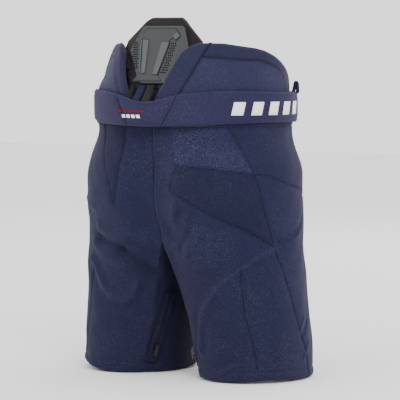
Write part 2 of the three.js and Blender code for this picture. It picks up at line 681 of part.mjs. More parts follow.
function addBelt() {
  const seamAngle = (h) => angleAt(mix(BELT_SEAM_BOTTOM_X, BELT_SEAM_TOP_X, h), BELT_HALF_WIDTH);
  const clear = LAYER_GAP / BELT_HALF_WIDTH;
  const endAngle = Math.PI - angleAt(BELT_END_X, BELT_HALF_WIDTH);
  const back = beltPanel((h) => -seamAngle(h), seamAngle, BELT_BACK_COLUMNS);
  const side = beltPanel((h) => seamAngle(h) + clear, () => endAngle, BELT_SIDE_COLUMNS);
  add("hips", "belt_back", back, materials.belt);
  addPair("hips", "belt_side", side, materials.belt);

  const out = BELT_THICKNESS + LAYER_GAP + TAB_THICKNESS;
  const tabAngle = Math.PI - angleAt(TAB_REACH, BELT_HALF_WIDTH);
  const low = BELT_BOTTOM + (BELT_SIDE_HEIGHT - TAB_HEIGHT) / 2;
  const tab = (s, h) => beltPoint(mix(tabAngle, 2 * Math.PI - tabAngle, s), low + h * TAB_HEIGHT, out);
  add("belt_tab", "belt_tab", thicken(sheet(tab, TAB_COLUMNS, 1), 0, TAB_THICKNESS), materials.belt);

  const loop = new THREE.BoxGeometry(BELT_LOOP_THICKNESS, BELT_LOOP_WIDTH, BELT_LOOP_HEIGHT);
  const top = BELT_TOP + BELT_LOOP_RISE;
  const angle = radians(BELT_LOOP_ANGLE);
  const face = beltPoint(angle, top - BELT_LOOP_HEIGHT / 2, 0);
  const away = beltPoint(angle + SLOPE_STEP, 0, 0).sub(beltPoint(angle - SLOPE_STEP, 0, 0));
  const normal = new THREE.Vector3(-away.y, away.x, 0).normalize();
  const spot = face.addScaledVector(normal, -2 * LAYER_GAP - BELT_LOOP_THICKNESS / 2);
  loop.rotateZ(Math.atan2(normal.y, normal.x));
  loop.translate(spot.x, spot.y, spot.z);
  addPair("hips", "belt_loop", loop, materials.webbing);
}

// Spine guard, its ribs and the straps that carry it

function guardPlace(geometry) {
  const copy = geometry.clone();
  copy.rotateX(Math.PI / 2 + radians(GUARD_LEAN));
  copy.translate(0, GUARD_HINGE_Y, GUARD_HINGE_HEIGHT);
  return copy;
}

function symmetric(right) {
  return [...right, ...right.map(([x, y]) => [-x, y]).reverse()];
}

function addGuard() {
  const foam = symmetric(GUARD_FOAM_OUTLINE.map(([x, y]) => [x, y + LAYER_GAP]));
  const [width, height] = [0, 1].map((axis) => Math.max(...GUARD_FOAM_OUTLINE.map((corner) => corner[axis])));
  const trim = new THREE.BoxGeometry(width, 2 * height, GUARD_FOAM_THICKNESS);
  trim.translate(width / 2, 0, -GUARD_FOAM_THICKNESS / 2);
  trim.rotateY(-radians(GUARD_CURL_ANGLE));
  trim.translate(GUARD_CURL_START, height / 2, 0);
  const block = toManifold(prism(foam, GUARD_FOAM_THICKNESS));
  const curled = block.subtract(toManifold(trim)).subtract(toManifold(mirrored(trim)));
  add("spine_guard", "guard_foam", guardPlace(fromManifold(curled)), materials.guardCloth);

  const back = -GUARD_PLATE_THICKNESS - LAYER_GAP;
  const slab = prism(symmetric(GUARD_PLATE_OUTLINE), GUARD_PLATE_THICKNESS);
  slab.translate(0, GUARD_PLATE_FOOT, back);
  const ribRoot = GUARD_PLATE_THICKNESS / 2;
  const rib = new THREE.BoxGeometry(GUARD_RIB_WIDTH, GUARD_RIB_LENGTH, ribRoot + GUARD_RIB_HEIGHT);
  rib.rotateZ(-radians(GUARD_RIB_SPLAY));
  const ribMiddle = back + (ribRoot - GUARD_RIB_HEIGHT) / 2;
  rib.translate(GUARD_RIB_SPREAD, GUARD_PLATE_FOOT + GUARD_RIB_MIDDLE, ribMiddle);
  const ribbed = toManifold(slab).add(toManifold(rib)).add(toManifold(mirrored(rib)));
  add("spine_guard", "guard_plate", guardPlace(fromManifold(ribbed)), materials.guardPlate);
}

// The straps rise from the inner face of the belt's back panel to the foot of the guard.
function addStraps() {
  const top = GUARD_HINGE_HEIGHT + STRAP_LAP;
  const tip = GUARD_HINGE_Y - STRAP_LAP * Math.tan(radians(GUARD_LEAN)) + LAYER_GAP;
  const foot = BELT_BOTTOM + STRAP_FOOT;
  const bend = BELT_BOTTOM + BELT_BACK_HEIGHT - STRAP_BEND;
  for (const [side, x] of [["left", STRAP_SPACING], ["middle", 0], ["right", -STRAP_SPACING]]) {
    const edge = angleAt(Math.abs(x) + STRAP_WIDTH / 2, BELT_HALF_WIDTH);
    const root = beltPoint(edge, 0, 0).y - LAYER_GAP;
    const profile = [
      [root - STRAP_THICKNESS, foot], [root, foot], [root, bend],
      [tip + STRAP_THICKNESS, top], [tip, top], [root - STRAP_THICKNESS, bend - STRAP_BEND_STAGGER],
    ];
    const strap = band(profile, STRAP_WIDTH).translate(x, 0, 0);
    add("hips", `guard_strap_${side}`, strap, materials.webbing);
  }
}

// Waistband, suspender buttons and the laced fly

function addWaistband() {
  const face = LINING_FACE + LAYER_GAP;
  const topRow = LEG_ROWS + TORSO_ROWS - 1;
  const rows = [topRow, topRow + 1];
  const strip = bodyPad(body, WAISTBAND_COLUMNS, rows, face, face + WAISTBAND_THICKNESS);
  addPair("hips", "waistband", strip, materials.belt);
  BUTTON_COLUMNS.forEach((column, i) => {
    const button = new THREE.CylinderGeometry(BUTTON_RADIUS, BUTTON_RADIUS, BUTTON_THICKNESS, BUTTON_SIDES);
    button.rotateX(Math.PI / 2);
    button.translate(0, 0, BUTTON_THICKNESS / 2);
    const depth = face + WAISTBAND_THICKNESS + LAYER_GAP;
    const placed = onCell(body, button, column, topRow, depth, -1);
    addPair("hips", `suspender_button_${i + 1}`, placed.geometry, materials.button);
  });
}

function addFly() {
  const lastColumn = OUTER_COLUMNS - 1;
  const heights = Array.from({ length: TORSO_ROWS - 1 }, (_, i) => rowHeight(LEG_ROWS + 2 + i));
  const depth = SHELL_THICKNESS + LAYER_GAP;
  const faceAt = (z) => torsoPoint(lastColumn / OUTER_COLUMNS, z).y + depth;
  const outer = heights.map((z) => [faceAt(z), z]);
  const inner = heights.map((z) => [faceAt(z) + TONGUE_THICKNESS, z]).reverse();
  const tongue = band([...inner, ...outer].reverse(), 2 * TONGUE_HALF_WIDTH);
  add("hips", "fly_tongue", tongue, materials.lining);

  const turns = [];
  EYELET_ROWS.forEach((row, i) => {
    const corners = [
      [EYELET_HOLE_RADIUS, 0], [EYELET_RADIUS, 0], [EYELET_RADIUS, EYELET_THICKNESS],
      [EYELET_HOLE_RADIUS, EYELET_THICKNESS], [EYELET_HOLE_RADIUS, 0],
    ];
    const ring = new THREE.LatheGeometry(corners.map((corner) => new THREE.Vector2(...corner)), EYELET_SIDES);
    ring.rotateX(Math.PI / 2);
    const placed = onCell(body, ring, lastColumn, row, -LAYER_GAP);
    addPair("hips", `eyelet_${i + 1}`, placed.geometry, materials.metal);
    const lift = EYELET_THICKNESS + 2 * LAYER_GAP + LACE_RADIUS;
    const spot = placed.spot.clone().addScaledVector(placed.out, lift);
    const side = i % 2 === 0 ? 1 : -1;
    turns.push(spot.clone().setX(side * spot.x), spot.clone().setX(-side * spot.x));
  });
  const path = new THREE.CatmullRomCurve3(turns, false, "centripetal");
  const section = new THREE.Shape();
  section.absarc(0, 0, LACE_RADIUS, 0, 2 * Math.PI);
  const lace = new THREE.ExtrudeGeometry(section, { steps: 24, curveSegments: 4, extrudePath: path });
  add("hips", "fly_lace", lace, materials.lace);
}

// Hem facings, zippers, sliders and pulls

function addHems() {
  const around = OUTER_COLUMNS + INNER_COLUMNS;
  const rim = { points: [], normals: [], faces: [] };
  for (const z of [0, HEM_FACING_THICKNESS]) {
    for (let i = 0; i < around; i += 1) {
      rim.points.push(body.points[i].clone().setZ(z));
      rim.normals.push(body.normals[i]);
    }
  }
  for (let i = 0; i < around; i += 1) {
    const next = (i + 1) % around;
    rim.faces.push(...quad(i, i + around, next + around, next));
  }
  addPair("leg", "hem_facing", thicken(rim, 0, LINING_FACE), materials.shell);
}

function addZippers() {
  const half = ZIP_TAPE_THICKNESS / 2;
  addPair("leg", "zipper_tape", zipBox(ZIP_TAPE_WIDTH, 0, zip.length, -half, half), materials.webbing);
  const back = half + LAYER_GAP;
  const front = back + SLIDER_THICKNESS;
  addPair("slider", "zipper_slider",
    zipBox(SLIDER_WIDTH, SLIDER_REST, SLIDER_REST + SLIDER_LENGTH, back, front), materials.metal);
  const top = SLIDER_REST + PULL_PIVOT;
  addPair("pull", "zipper_pull",
    zipBox(PULL_WIDTH, top - PULL_LENGTH, top, front + LAYER_GAP, front + LAYER_GAP + PULL_THICKNESS),
    materials.metal);
}

addSeat();
addGusset();
addPads();
addTailPad();
addWings();
addBelt();
addGuard();
addStraps();
addWaistband();
addFly();
addHems();
addZippers();

// The origin is the middle of the footprint, on the surface that the hems stand on.
const bounds = new THREE.Box3().setFromObject(model);
const middle = bounds.getCenter(new THREE.Vector3());
model.position.set(-middle.x, -middle.y, -bounds.min.z);

export default model;
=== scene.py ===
"""Ice hockey pants: padded halves, belt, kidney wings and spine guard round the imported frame.

Lengths are millimetres until a mesh is made. A place on the pants is given in degrees round one
half, from the middle of the back (0) to the middle of the front (180), and a height.
"""
import math

import bmesh
import bpy
import numpy as np
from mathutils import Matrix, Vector


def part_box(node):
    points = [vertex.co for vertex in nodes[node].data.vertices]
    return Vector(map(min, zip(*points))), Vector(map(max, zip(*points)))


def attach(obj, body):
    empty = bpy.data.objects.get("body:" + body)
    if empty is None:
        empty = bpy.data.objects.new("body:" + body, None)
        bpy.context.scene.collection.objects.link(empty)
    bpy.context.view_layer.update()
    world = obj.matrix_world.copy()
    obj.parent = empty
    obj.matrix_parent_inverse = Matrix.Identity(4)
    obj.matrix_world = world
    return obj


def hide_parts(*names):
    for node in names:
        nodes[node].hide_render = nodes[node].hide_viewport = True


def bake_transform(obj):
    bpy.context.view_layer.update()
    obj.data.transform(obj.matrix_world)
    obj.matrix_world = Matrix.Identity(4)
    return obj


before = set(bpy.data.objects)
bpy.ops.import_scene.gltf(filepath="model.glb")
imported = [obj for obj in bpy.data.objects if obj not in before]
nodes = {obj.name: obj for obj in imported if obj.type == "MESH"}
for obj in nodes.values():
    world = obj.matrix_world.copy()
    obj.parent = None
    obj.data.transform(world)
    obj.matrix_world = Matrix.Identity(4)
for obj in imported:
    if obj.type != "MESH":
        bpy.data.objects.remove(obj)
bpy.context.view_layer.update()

bpy.ops.object.select_all(action="DESELECT")

MM = 0.001
FRAME_Y = -2.75
SIDES = (("left", 1), ("right", -1))

# Heights
CROTCH_END, HIPS, BELOW_WAIST, WAIST, PANTS_TOP, BELT_TOP = 232.0, 303, 343, 423, 437.0, 484.0
WING_RISE = 84

# Half width, depth behind and depth in front of the body at three heights
AT_CROTCH, AT_HIPS, AT_WAIST = (202, 124, 124), (197, 147, 137), (176, 134, 124)
BODY_SQUARENESS = 2.2
SEAT_CLEFT, WAIST_CLEFT, CLEFT_WIDTH = 24, 9, 45

# Each leg at its hem, and how much it changes up to the crotch
LEG_MIDDLE, LEG_HALF_WIDTH, LEG_HALF_DEPTH, LEG_FORWARD = 121, 93, 107, -8
LEG_DRIFT, LEG_GROWTH, LEG_CURVE = 20, 9, 2.5
CROTCH_HEIGHT, CROTCH_SAG = 218, 14

BELT_HALF_WIDTH, BELT_BACK, BELT_FRONT = 181, 149, 140
BELT_CLOTH_THICKNESS = 5.5
SHELL_DEPTH, LINING_DEPTH, LINING_THICKNESS = 18.8, 19.0, 2.4


# The pattern: the same surfaces as the frame

def smooth(value, low, high):
    t = np.clip((value - low) / (high - low), 0, 1)
    return t * t * (3 - 2 * t)


def mix(a, b, t):
    return a + (b - a) * t


def rounded(angle, half_width, half_depth):
    k = 2 / BODY_SQUARENESS
    across, along = np.sin(angle), np.cos(angle)
    return (half_width * np.sign(across) * np.abs(across) ** k,
            half_depth * np.sign(along) * np.abs(along) ** k)


def torso(deg, z):
    """The outside of one half above the crotch, as (across, back)."""
    hips, waist = smooth(z, CROTCH_END, HIPS), smooth(z, BELOW_WAIST, WAIST)
    wide, back, front = (mix(mix(low, middle, hips), high, waist)
                         for low, middle, high in zip(AT_CROTCH, AT_HIPS, AT_WAIST))
    behind = deg < 90
    x, y = rounded(np.radians(deg), wide, np.where(behind, back, front))
    cleft = mix(SEAT_CLEFT, WAIST_CLEFT, waist) * np.exp(-(x / CLEFT_WIDTH) ** 2)
    return np.maximum(x, 0.4), y - np.where(behind, cleft, 0)


def leg(angle, rise):
    """The outline of one leg, rise going from 0 at the hem to 1 at the crotch."""
    x = LEG_MIDDLE - LEG_DRIFT * rise + (LEG_HALF_WIDTH + LEG_GROWTH * rise) * np.cos(angle)
    return np.maximum(x, 4), LEG_FORWARD + (LEG_HALF_DEPTH + LEG_GROWTH * rise) * np.sin(angle)


def outer(deg, z):
    """A place on the outside of one half."""
    deg, z = np.broadcast_arrays(np.asarray(deg, float), np.asarray(z, float))
    x, y = torso(deg, np.maximum(z, CROTCH_END))
    rise = np.clip(z / CROTCH_END, 0, 1)
    share = rise ** LEG_CURVE
    leg_x, leg_y = leg(np.radians(135 * (1 - deg / 90)), rise)
    return np.stack([mix(leg_x, x, share), mix(leg_y, y, share) + FRAME_Y, z], -1)


def inner(share, rise):
    """A place on the inner thigh: share goes from front to back, rise from hem to crotch."""
    share, rise = np.broadcast_arrays(np.asarray(share, float), np.asarray(rise, float))
    front, back = torso(np.array(180.0), CROTCH_END)[1], torso(np.array(0.0), CROTCH_END)[1]
    ridge = CROTCH_HEIGHT + CROTCH_SAG * np.abs(2 * share - 1) ** 2.5
    blend = rise ** LEG_CURVE
    leg_x, leg_y = leg(np.radians(-135 - 90 * share), rise)
    return np.stack([mix(leg_x, 0.4, blend), mix(leg_y, mix(front, back, share), blend) + FRAME_Y,
                     ridge * rise], -1)


def sunk(points, centre_x, centre_y, depth):
    """Points moved inwards, towards an upright line."""
    way = np.stack([centre_x - points[..., 0], centre_y - points[..., 1]], -1)
    way /= np.linalg.norm(way, axis=-1, keepdims=True)
    moved = points.copy()
    moved[..., :2] += way * np.asarray(depth)[..., None] if np.ndim(depth) else way * depth
    return moved


def belt_face(deg, z, out=0.0):
    angle = np.radians(deg)
    depth = np.where(np.cos(angle) > 0, BELT_BACK, BELT_FRONT)
    return np.stack(np.broadcast_arrays((BELT_HALF_WIDTH + out) * np.sin(angle),
                                        (depth + out) * np.cos(angle) + FRAME_Y, z), -1)


def wing_face(deg, z):
    """The outside of a wing: it stands inside the belt and leans in above it."""
    over = np.clip((z - BELT_TOP) / WING_RISE, 0, None)
    corner = mix(19, 24, smooth(deg, 0, 60))
    lean = mix(corner, 10, smooth(deg, 60, 120)) * over ** 1.7
    inset = smooth(z, PANTS_TOP, BELT_TOP)
    angle = np.radians(deg)
    depth = np.where(deg < 90, BELT_BACK - 1 - lean, BELT_FRONT - mix(1, 14, inset) - lean)
    return np.stack([(BELT_HALF_WIDTH - mix(1, 5, inset) - lean) * np.sin(angle),
                     depth * np.cos(angle) + FRAME_Y, z + 0 * deg], -1)


def traced(corners, face, step=1.5):
    """A line through corners given as (degrees, height), laid on a face as close points."""
    corners = np.array(corners, float)
    found = []
    for (deg0, z0), (deg1, z1) in zip(corners[:-1], corners[1:]):
        long = math.hypot((deg1 - deg0) * 3, z1 - z0)
        t = np.linspace(0, 1, max(2, int(long / step)))
        found.append(face(mix(deg0, deg1, t), mix(z0, z1, t)))
    return np.concatenate(found)


def distance(points, line):
    """How far each point is from the nearest point of a line."""
    flat = points.reshape(-1, 3)
    best = np.full(len(flat), 1e9)
    for start in range(0, len(line), 60):
        part = line[start:start + 60]
        gap = ((flat[:, None, :] - part[None]) ** 2).sum(-1).min(1)
        best = np.minimum(best, gap)
    return np.sqrt(best).reshape(points.shape[:-1])


def inside(corners, deg, z):
    """1 inside a closed outline given in (degrees, height), 0 outside."""
    corners = np.array(corners, float)
    found = np.zeros(np.shape(deg), bool)
    for (d0, z0), (d1, z1) in zip(corners, np.roll(corners, -1, 0)):
        crosses = (z0 > z) != (z1 > z)
        at = d0 + (z - z0) * (d1 - d0) / (z1 - z0 + 1e-9)
        found ^= crosses & (deg < at)
    return found


def bell(value, width):
    return np.exp(-(value / width) ** 2)


def lumps(points, length, seed):
    """Gentle unevenness of stuffed cloth, about -1 to 1."""
    rng = np.random.default_rng(seed)
    total = np.zeros(points.shape[:-1])
    for _ in range(7):
        way = rng.normal(size=3)
        way *= rng.uniform(0.7, 1.5) * 2 * math.pi / (length * np.linalg.norm(way))
        total += np.sin(points @ way + rng.uniform(0, 2 * math.pi))
    return total / 4


# Meshes

def outward(mesh):
    """Turns all the faces of a closed mesh outwards."""
    made = bmesh.new()
    made.from_mesh(mesh)
    bmesh.ops.recalc_face_normals(made, faces=made.faces)
    made.to_mesh(mesh)
    made.free()


def piece(name, points, faces, material, uv=None, tone=None):
    """A mesh object from points in millimetres. uv is one pair per point, in metres."""
    mesh = bpy.data.meshes.new(name)
    mesh.from_pydata((np.asarray(points) * MM).tolist(), [], [list(f) for f in faces])
    shade = mesh.attributes.new("tone", "FLOAT", "POINT")
    shade.data.foreach_set("value", np.ones(len(mesh.vertices), np.float32) if tone is None
                           else np.asarray(tone, np.float32))
    if uv is not None:
        layer = mesh.uv_layers.new(name="cloth")
        corner = np.zeros(len(mesh.loops), np.int32)
        mesh.loops.foreach_get("vertex_index", corner)
        layer.data.foreach_set("uv", np.asarray(uv, np.float32)[corner].ravel())
    mesh.materials.append(material)
    outward(mesh)
    mesh.polygons.foreach_set("use_smooth", np.ones(len(mesh.polygons), bool))
    obj = bpy.data.objects.new(name, mesh)
    bpy.context.scene.collection.objects.link(obj)
    return obj


def grid_faces(rows, columns, start=0, wrap=False):
    last = columns if wrap else columns - 1
    return [(start + r * columns + c, start + r * columns + (c + 1) % columns,
             start + (r + 1) * columns + (c + 1) % columns, start + (r + 1) * columns + c)
            for r in range(rows - 1) for c in range(last)]


def grid_normals(points):
    down = np.gradient(points, axis=0)
    along = np.gradient(points, axis=1)
    normal = np.cross(along, down)
    return normal / np.maximum(np.linalg.norm(normal, axis=-1, keepdims=True), 1e-9)


def arcs(points):
    """Lengths along the columns and the rows of a grid."""
    along = np.linalg.norm(np.diff(points, axis=1), axis=-1)
    down = np.linalg.norm(np.diff(points, axis=0), axis=-1)
    u = np.concatenate([np.zeros((points.shape[0], 1)), np.cumsum(along, 1)], 1)
    v = np.concatenate([np.zeros((1, points.shape[1])), np.cumsum(down, 0)], 0)
    return u, v


def lengths(path):
    """How far along a line each of its points lies."""
    return np.concatenate([[0], np.cumsum(np.linalg.norm(np.diff(path, axis=0), axis=1))])


def edge_distance(points):
    """How far each point of a grid is from its nearest edge."""
    u, v = arcs(points)
    return np.minimum.reduce([u, u[:, -1:] - u, v, v[-1:] - v])


def rim(gap, radius):
    """Share of the full thickness near an edge that is rounded over."""
    return np.sqrt(1 - (1 - np.clip(gap / radius, 0, 1)) ** 2) * 0.92 + 0.08


def border(rows, columns, start=0):
    """Pairs of neighbours round the edge of a grid."""
    ring = [(0, c) for c in range(columns)] + [(r, columns - 1) for r in range(1, rows)]
    ring += [(rows - 1, c) for c in range(columns - 2, -1, -1)]
    ring += [(r, 0) for r in range(rows - 2, 0, -1)]
    ring = [start + r * columns + c for r, c in ring]
    return list(zip(ring, ring[1:] + ring[:1]))


def closed(sheet, edges, count):
    """Faces of a sheet, of the same sheet turned over, and of the strips that join them."""
    back = [tuple(reversed([i + count for i in face])) for face in sheet]
    return sheet + back + [(b, a, a + count, b + count) for a, b in edges]


def stuffed(name, points, front, back, material, tone=None, mirror=1):
    """A closed piece round a grid: front and back say how far its faces stand off the grid."""
    rows, columns = points.shape[:2]
    normal = grid_normals(points)
    faces = closed(grid_faces(rows, columns), border(rows, columns), rows * columns)
    both = np.concatenate([(points + normal * front[..., None]).reshape(-1, 3),
                           (points - normal * back[..., None]).reshape(-1, 3)])
    both[:, 0] *= mirror
    u, v = arcs(points)
    uv = np.stack([u, v], -1).reshape(-1, 2) * MM
    tones = None if tone is None else np.tile(np.broadcast_to(tone, (rows, columns)).ravel(), 2)
    return piece(name, both, faces, material, np.tile(uv, (2, 1)), tones)


# Shader groups

def group(name, inputs, outputs):
    made = bpy.data.node_groups.new(name, "ShaderNodeTree")
    for label, kind, value in inputs:
        socket = made.interface.new_socket(name=label, in_out="INPUT", socket_type="NodeSocket" + kind)
        if value is not None:
            socket.default_value = value
    for label, kind in outputs:
        made.interface.new_socket(name=label, in_out="OUTPUT", socket_type="NodeSocket" + kind)
    return made, made.nodes.new("NodeGroupInput"), made.nodes.new("NodeGroupOutput")


def node(tree, kind, links=(), **settings):
    """A shader node. Each link is a socket and its value, or the socket that feeds it."""
    made = tree.nodes.new("ShaderNode" + kind)
    for key, value in settings.items():
        setattr(made, key, value)
    for socket, value in links:
        target = made.inputs[socket]
        if isinstance(value, bpy.types.NodeSocket):
            tree.links.new(value, target)
        else:
            target.default_value = value
    return made


def calc(tree, operation, a, b=None, c=None):
    links = [(0, a)] + [(i, v) for i, v in ((1, b), (2, c)) if v is not None]
    return node(tree, "Math", links, operation=operation).outputs[0]


def weave_group():
    """Over and under threads. Height is the relief, Thread the light and dark of the yarns."""
    tree, given, out = group("Woven threads", [("Vector", "Vector", None), ("Threads", "Float", 600.0),
                                               ("Unevenness", "Float", 0.3)],
                             [("Height", "Float"), ("Thread", "Float")])
    parts = node(tree, "SeparateXYZ", [(0, given.outputs["Vector"])])
    turns = calc(tree, "MULTIPLY", given.outputs["Threads"], math.pi)
    warp = calc(tree, "MULTIPLY", parts.outputs[0], turns)
    weft = calc(tree, "MULTIPLY", parts.outputs[1], turns)
    yarn_x = calc(tree, "ABSOLUTE", calc(tree, "SINE", warp))
    yarn_y = calc(tree, "ABSOLUTE", calc(tree, "SINE", weft))
    over = calc(tree, "MULTIPLY", calc(tree, "COSINE", warp), calc(tree, "COSINE", weft))
    side = node(tree, "MapRange", [(0, over), (1, -0.25), (2, 0.25), (3, 0.0), (4, 1.0)]).outputs[0]
    height = node(tree, "Mix", [(0, side), (2, yarn_x), (3, yarn_y)], data_type="FLOAT").outputs[0]
    slub = node(tree, "TexNoise", [("Vector", given.outputs["Vector"]), ("Scale", 240.0),
                                   ("Detail", 3.0), ("Roughness", 0.7)]).outputs[0]
    uneven = calc(tree, "MULTIPLY", calc(tree, "SUBTRACT", slub, 0.5), given.outputs["Unevenness"])
    tree.links.new(calc(tree, "ADD", height, uneven), out.inputs["Height"])
    shade = calc(tree, "ADD", calc(tree, "MULTIPLY", height, 0.6), calc(tree, "MULTIPLY", uneven, 2.0))
    tree.links.new(shade, out.inputs["Thread"])
    return tree


def use_group():
    """Uneven dye on cloth, and pale specks that are partly fluff and partly painted sheen, more of them where
    the tone is higher.
    """
    tree, given, out = group("Dyed cloth with fluff and painted sheen", [("Vector", "Vector", None), ("Colour", "Color", None),
                                               ("Tone", "Float", 1.0), ("Thread", "Float", 0.5),
                                               ("Yarn contrast", "Float", 0.3), ("Patchiness", "Float", 0.15),
                                               ("Roughness", "Float", 0.85), ("Fluff and sheen", "Float", 0.2),
                                               ("Fluff and sheen colour", "Color", (0.26, 0.2, 0.3, 1.0))],
                             [("Colour", "Color"), ("Roughness", "Float"), ("Patch", "Float")])
    broad = node(tree, "TexNoise", [("Vector", given.outputs["Vector"]), ("Scale", 9.0), ("Detail", 5.0),
                                    ("Roughness", 0.6)]).outputs[0]
    fine = node(tree, "TexNoise", [("Vector", given.outputs["Vector"]), ("Scale", 420.0), ("Detail", 2.0),
                                   ("Roughness", 0.6)]).outputs[0]
    patch = calc(tree, "MULTIPLY", calc(tree, "SUBTRACT", broad, 0.5), given.outputs["Patchiness"])
    speck = calc(tree, "MULTIPLY", calc(tree, "SUBTRACT", fine, 0.5), given.outputs["Yarn contrast"])
    yarn = calc(tree, "MULTIPLY", calc(tree, "SUBTRACT", given.outputs["Thread"], 0.4),
                given.outputs["Yarn contrast"])
    factor = calc(tree, "ADD", calc(tree, "ADD", 1.0, calc(tree, "MULTIPLY", patch, 2.0)),
                  calc(tree, "ADD", speck, yarn))
    factor = calc(tree, "MULTIPLY", factor, given.outputs["Tone"])
    scaled = node(tree, "VectorMath", [(0, given.outputs["Colour"]), (3, factor)],
                  operation="SCALE").outputs[0]
    # Pale specks in patches, partly fluff and partly painted sheen, stronger where the tone is higher.
    dots = node(tree, "TexNoise", [("Vector", given.outputs["Vector"]), ("Scale", 620.0), ("Detail", 1.0),
                                   ("Roughness", 0.5)]).outputs[0]
    spots = node(tree, "MapRange", [(0, dots), (1, 0.5), (2, 0.72), (3, 0.0), (4, 1.0)]).outputs[0]
    area = node(tree, "MapRange", [(0, broad), (1, 0.38), (2, 0.68), (3, 0.25), (4, 1.0)]).outputs[0]
    amount = calc(tree, "MULTIPLY", calc(tree, "MULTIPLY", spots, area), given.outputs["Fluff and sheen"])
    amount = calc(tree, "MULTIPLY", amount, calc(tree, "MULTIPLY", given.outputs["Tone"],
                                                 given.outputs["Tone"]))
    with_fluff_and_sheen = node(tree, "Mix", [(0, amount), (6, scaled), (7, given.outputs["Fluff and sheen colour"])],
                  data_type="RGBA").outputs[2]
    tree.links.new(with_fluff_and_sheen, out.inputs["Colour"])
    tree.links.new(calc(tree, "ADD", given.outputs["Roughness"], calc(tree, "MULTIPLY", patch, 0.5)),
                   out.inputs["Roughness"])
    tree.links.new(broad, out.inputs["Patch"])
    return tree


def moulded_group():
    """Fine spark texture and rubbed patches on moulded plastic or plated metal."""
    tree, given, out = group("Moulded and rubbed", [("Vector", "Vector", None), ("Colour", "Color", None),
                                                    ("Grain", "Float", 900.0), ("Rub", "Float", 0.3),
                                                    ("Roughness", "Float", 0.5)],
                             [("Colour", "Color"), ("Roughness", "Float"), ("Height", "Float")])
    grain = node(tree, "TexNoise", [("Vector", given.outputs["Vector"]), ("Scale", given.outputs["Grain"]),
                                    ("Detail", 2.0)]).outputs[0]
    broad = node(tree, "TexNoise", [("Vector", given.outputs["Vector"]), ("Scale", 35.0), ("Detail", 6.0),
                                    ("Roughness", 0.65)]).outputs[0]
    rub = calc(tree, "MULTIPLY", calc(tree, "SUBTRACT", broad, 0.5), given.outputs["Rub"])
    factor = calc(tree, "ADD", 1.0, rub)
    scaled = node(tree, "VectorMath", [(0, given.outputs["Colour"]), (3, factor)],
                  operation="SCALE").outputs[0]
    tree.links.new(scaled, out.inputs["Colour"])
    tree.links.new(calc(tree, "ADD", given.outputs["Roughness"], rub), out.inputs["Roughness"])
    tree.links.new(calc(tree, "ADD", grain, calc(tree, "MULTIPLY", broad, 0.5)), out.inputs["Height"])
    return tree


WEAVE, USE, MOULDED = weave_group(), use_group(), moulded_group()


def srgb(r, g, b):
    """A colour given as three values from 0 to 255, as the shader takes it."""
    return [((v / 255 + 0.055) / 1.055) ** 2.4 if v > 10 else v / 255 / 12.92 for v in (r, g, b)] + [1.0]


def finish_shader(name):
    material = bpy.data.materials.new(name)
    material.use_nodes = True
    tree = material.node_tree
    return material, tree, tree.nodes["Principled BSDF"]


def cloth(name, colour, threads=550.0, relief=0.5, contrast=0.35, patchiness=0.12, sheen=0.3,
          tint=(0.8, 0.66, 1.0), roughness=0.82, shine=0.12, fluff_and_sheen=0.12):
    material, tree, shader = finish_shader(name)
    uv = node(tree, "UVMap", uv_map="cloth").outputs[0]
    place = node(tree, "TexCoord").outputs["Object"]
    tone = node(tree, "Attribute", attribute_name="tone").outputs["Fac"]
    woven = node(tree, "Group", [("Vector", uv), ("Threads", threads)], node_tree=WEAVE)
    used = node(tree, "Group", [("Vector", place), ("Colour", colour), ("Tone", tone),
                                ("Thread", woven.outputs["Thread"]), ("Yarn contrast", contrast),
                                ("Patchiness", patchiness), ("Roughness", roughness), ("Fluff and sheen", fluff_and_sheen)],
                node_tree=USE)
    tree.links.new(used.outputs["Colour"], shader.inputs["Base Color"])
    tree.links.new(used.outputs["Roughness"], shader.inputs["Roughness"])
    bump = node(tree, "Bump", [("Height", woven.outputs["Height"]), ("Strength", relief),
                               ("Distance", 0.0006)])
    tree.links.new(bump.outputs[0], shader.inputs["Normal"])
    shader.inputs["Sheen Weight"].default_value = sheen
    shader.inputs["Sheen Roughness"].default_value = 0.45
    shader.inputs["Sheen Tint"].default_value = (*tint, 1.0)
    shader.inputs["Specular IOR Level"].default_value = shine
    return material


def hard(name, colour, roughness=0.5, grain=900.0, relief=0.15, rub=0.25, metallic=0.0, coat=0.0):
    material, tree, shader = finish_shader(name)
    place = node(tree, "TexCoord").outputs["Object"]
    made = node(tree, "Group", [("Vector", place), ("Colour", colour), ("Grain", grain), ("Rub", rub),
                                ("Roughness", roughness)], node_tree=MOULDED)
    tree.links.new(made.outputs["Colour"], shader.inputs["Base Color"])
    tree.links.new(made.outputs["Roughness"], shader.inputs["Roughness"])
    bump = node(tree, "Bump", [("Height", made.outputs["Height"]), ("Strength", relief),
                               ("Distance", 0.0004)])
    tree.links.new(bump.outputs[0], shader.inputs["Normal"])
    shader.inputs["Metallic"].default_value = metallic
    shader.inputs["Coat Weight"].default_value = coat
    return material


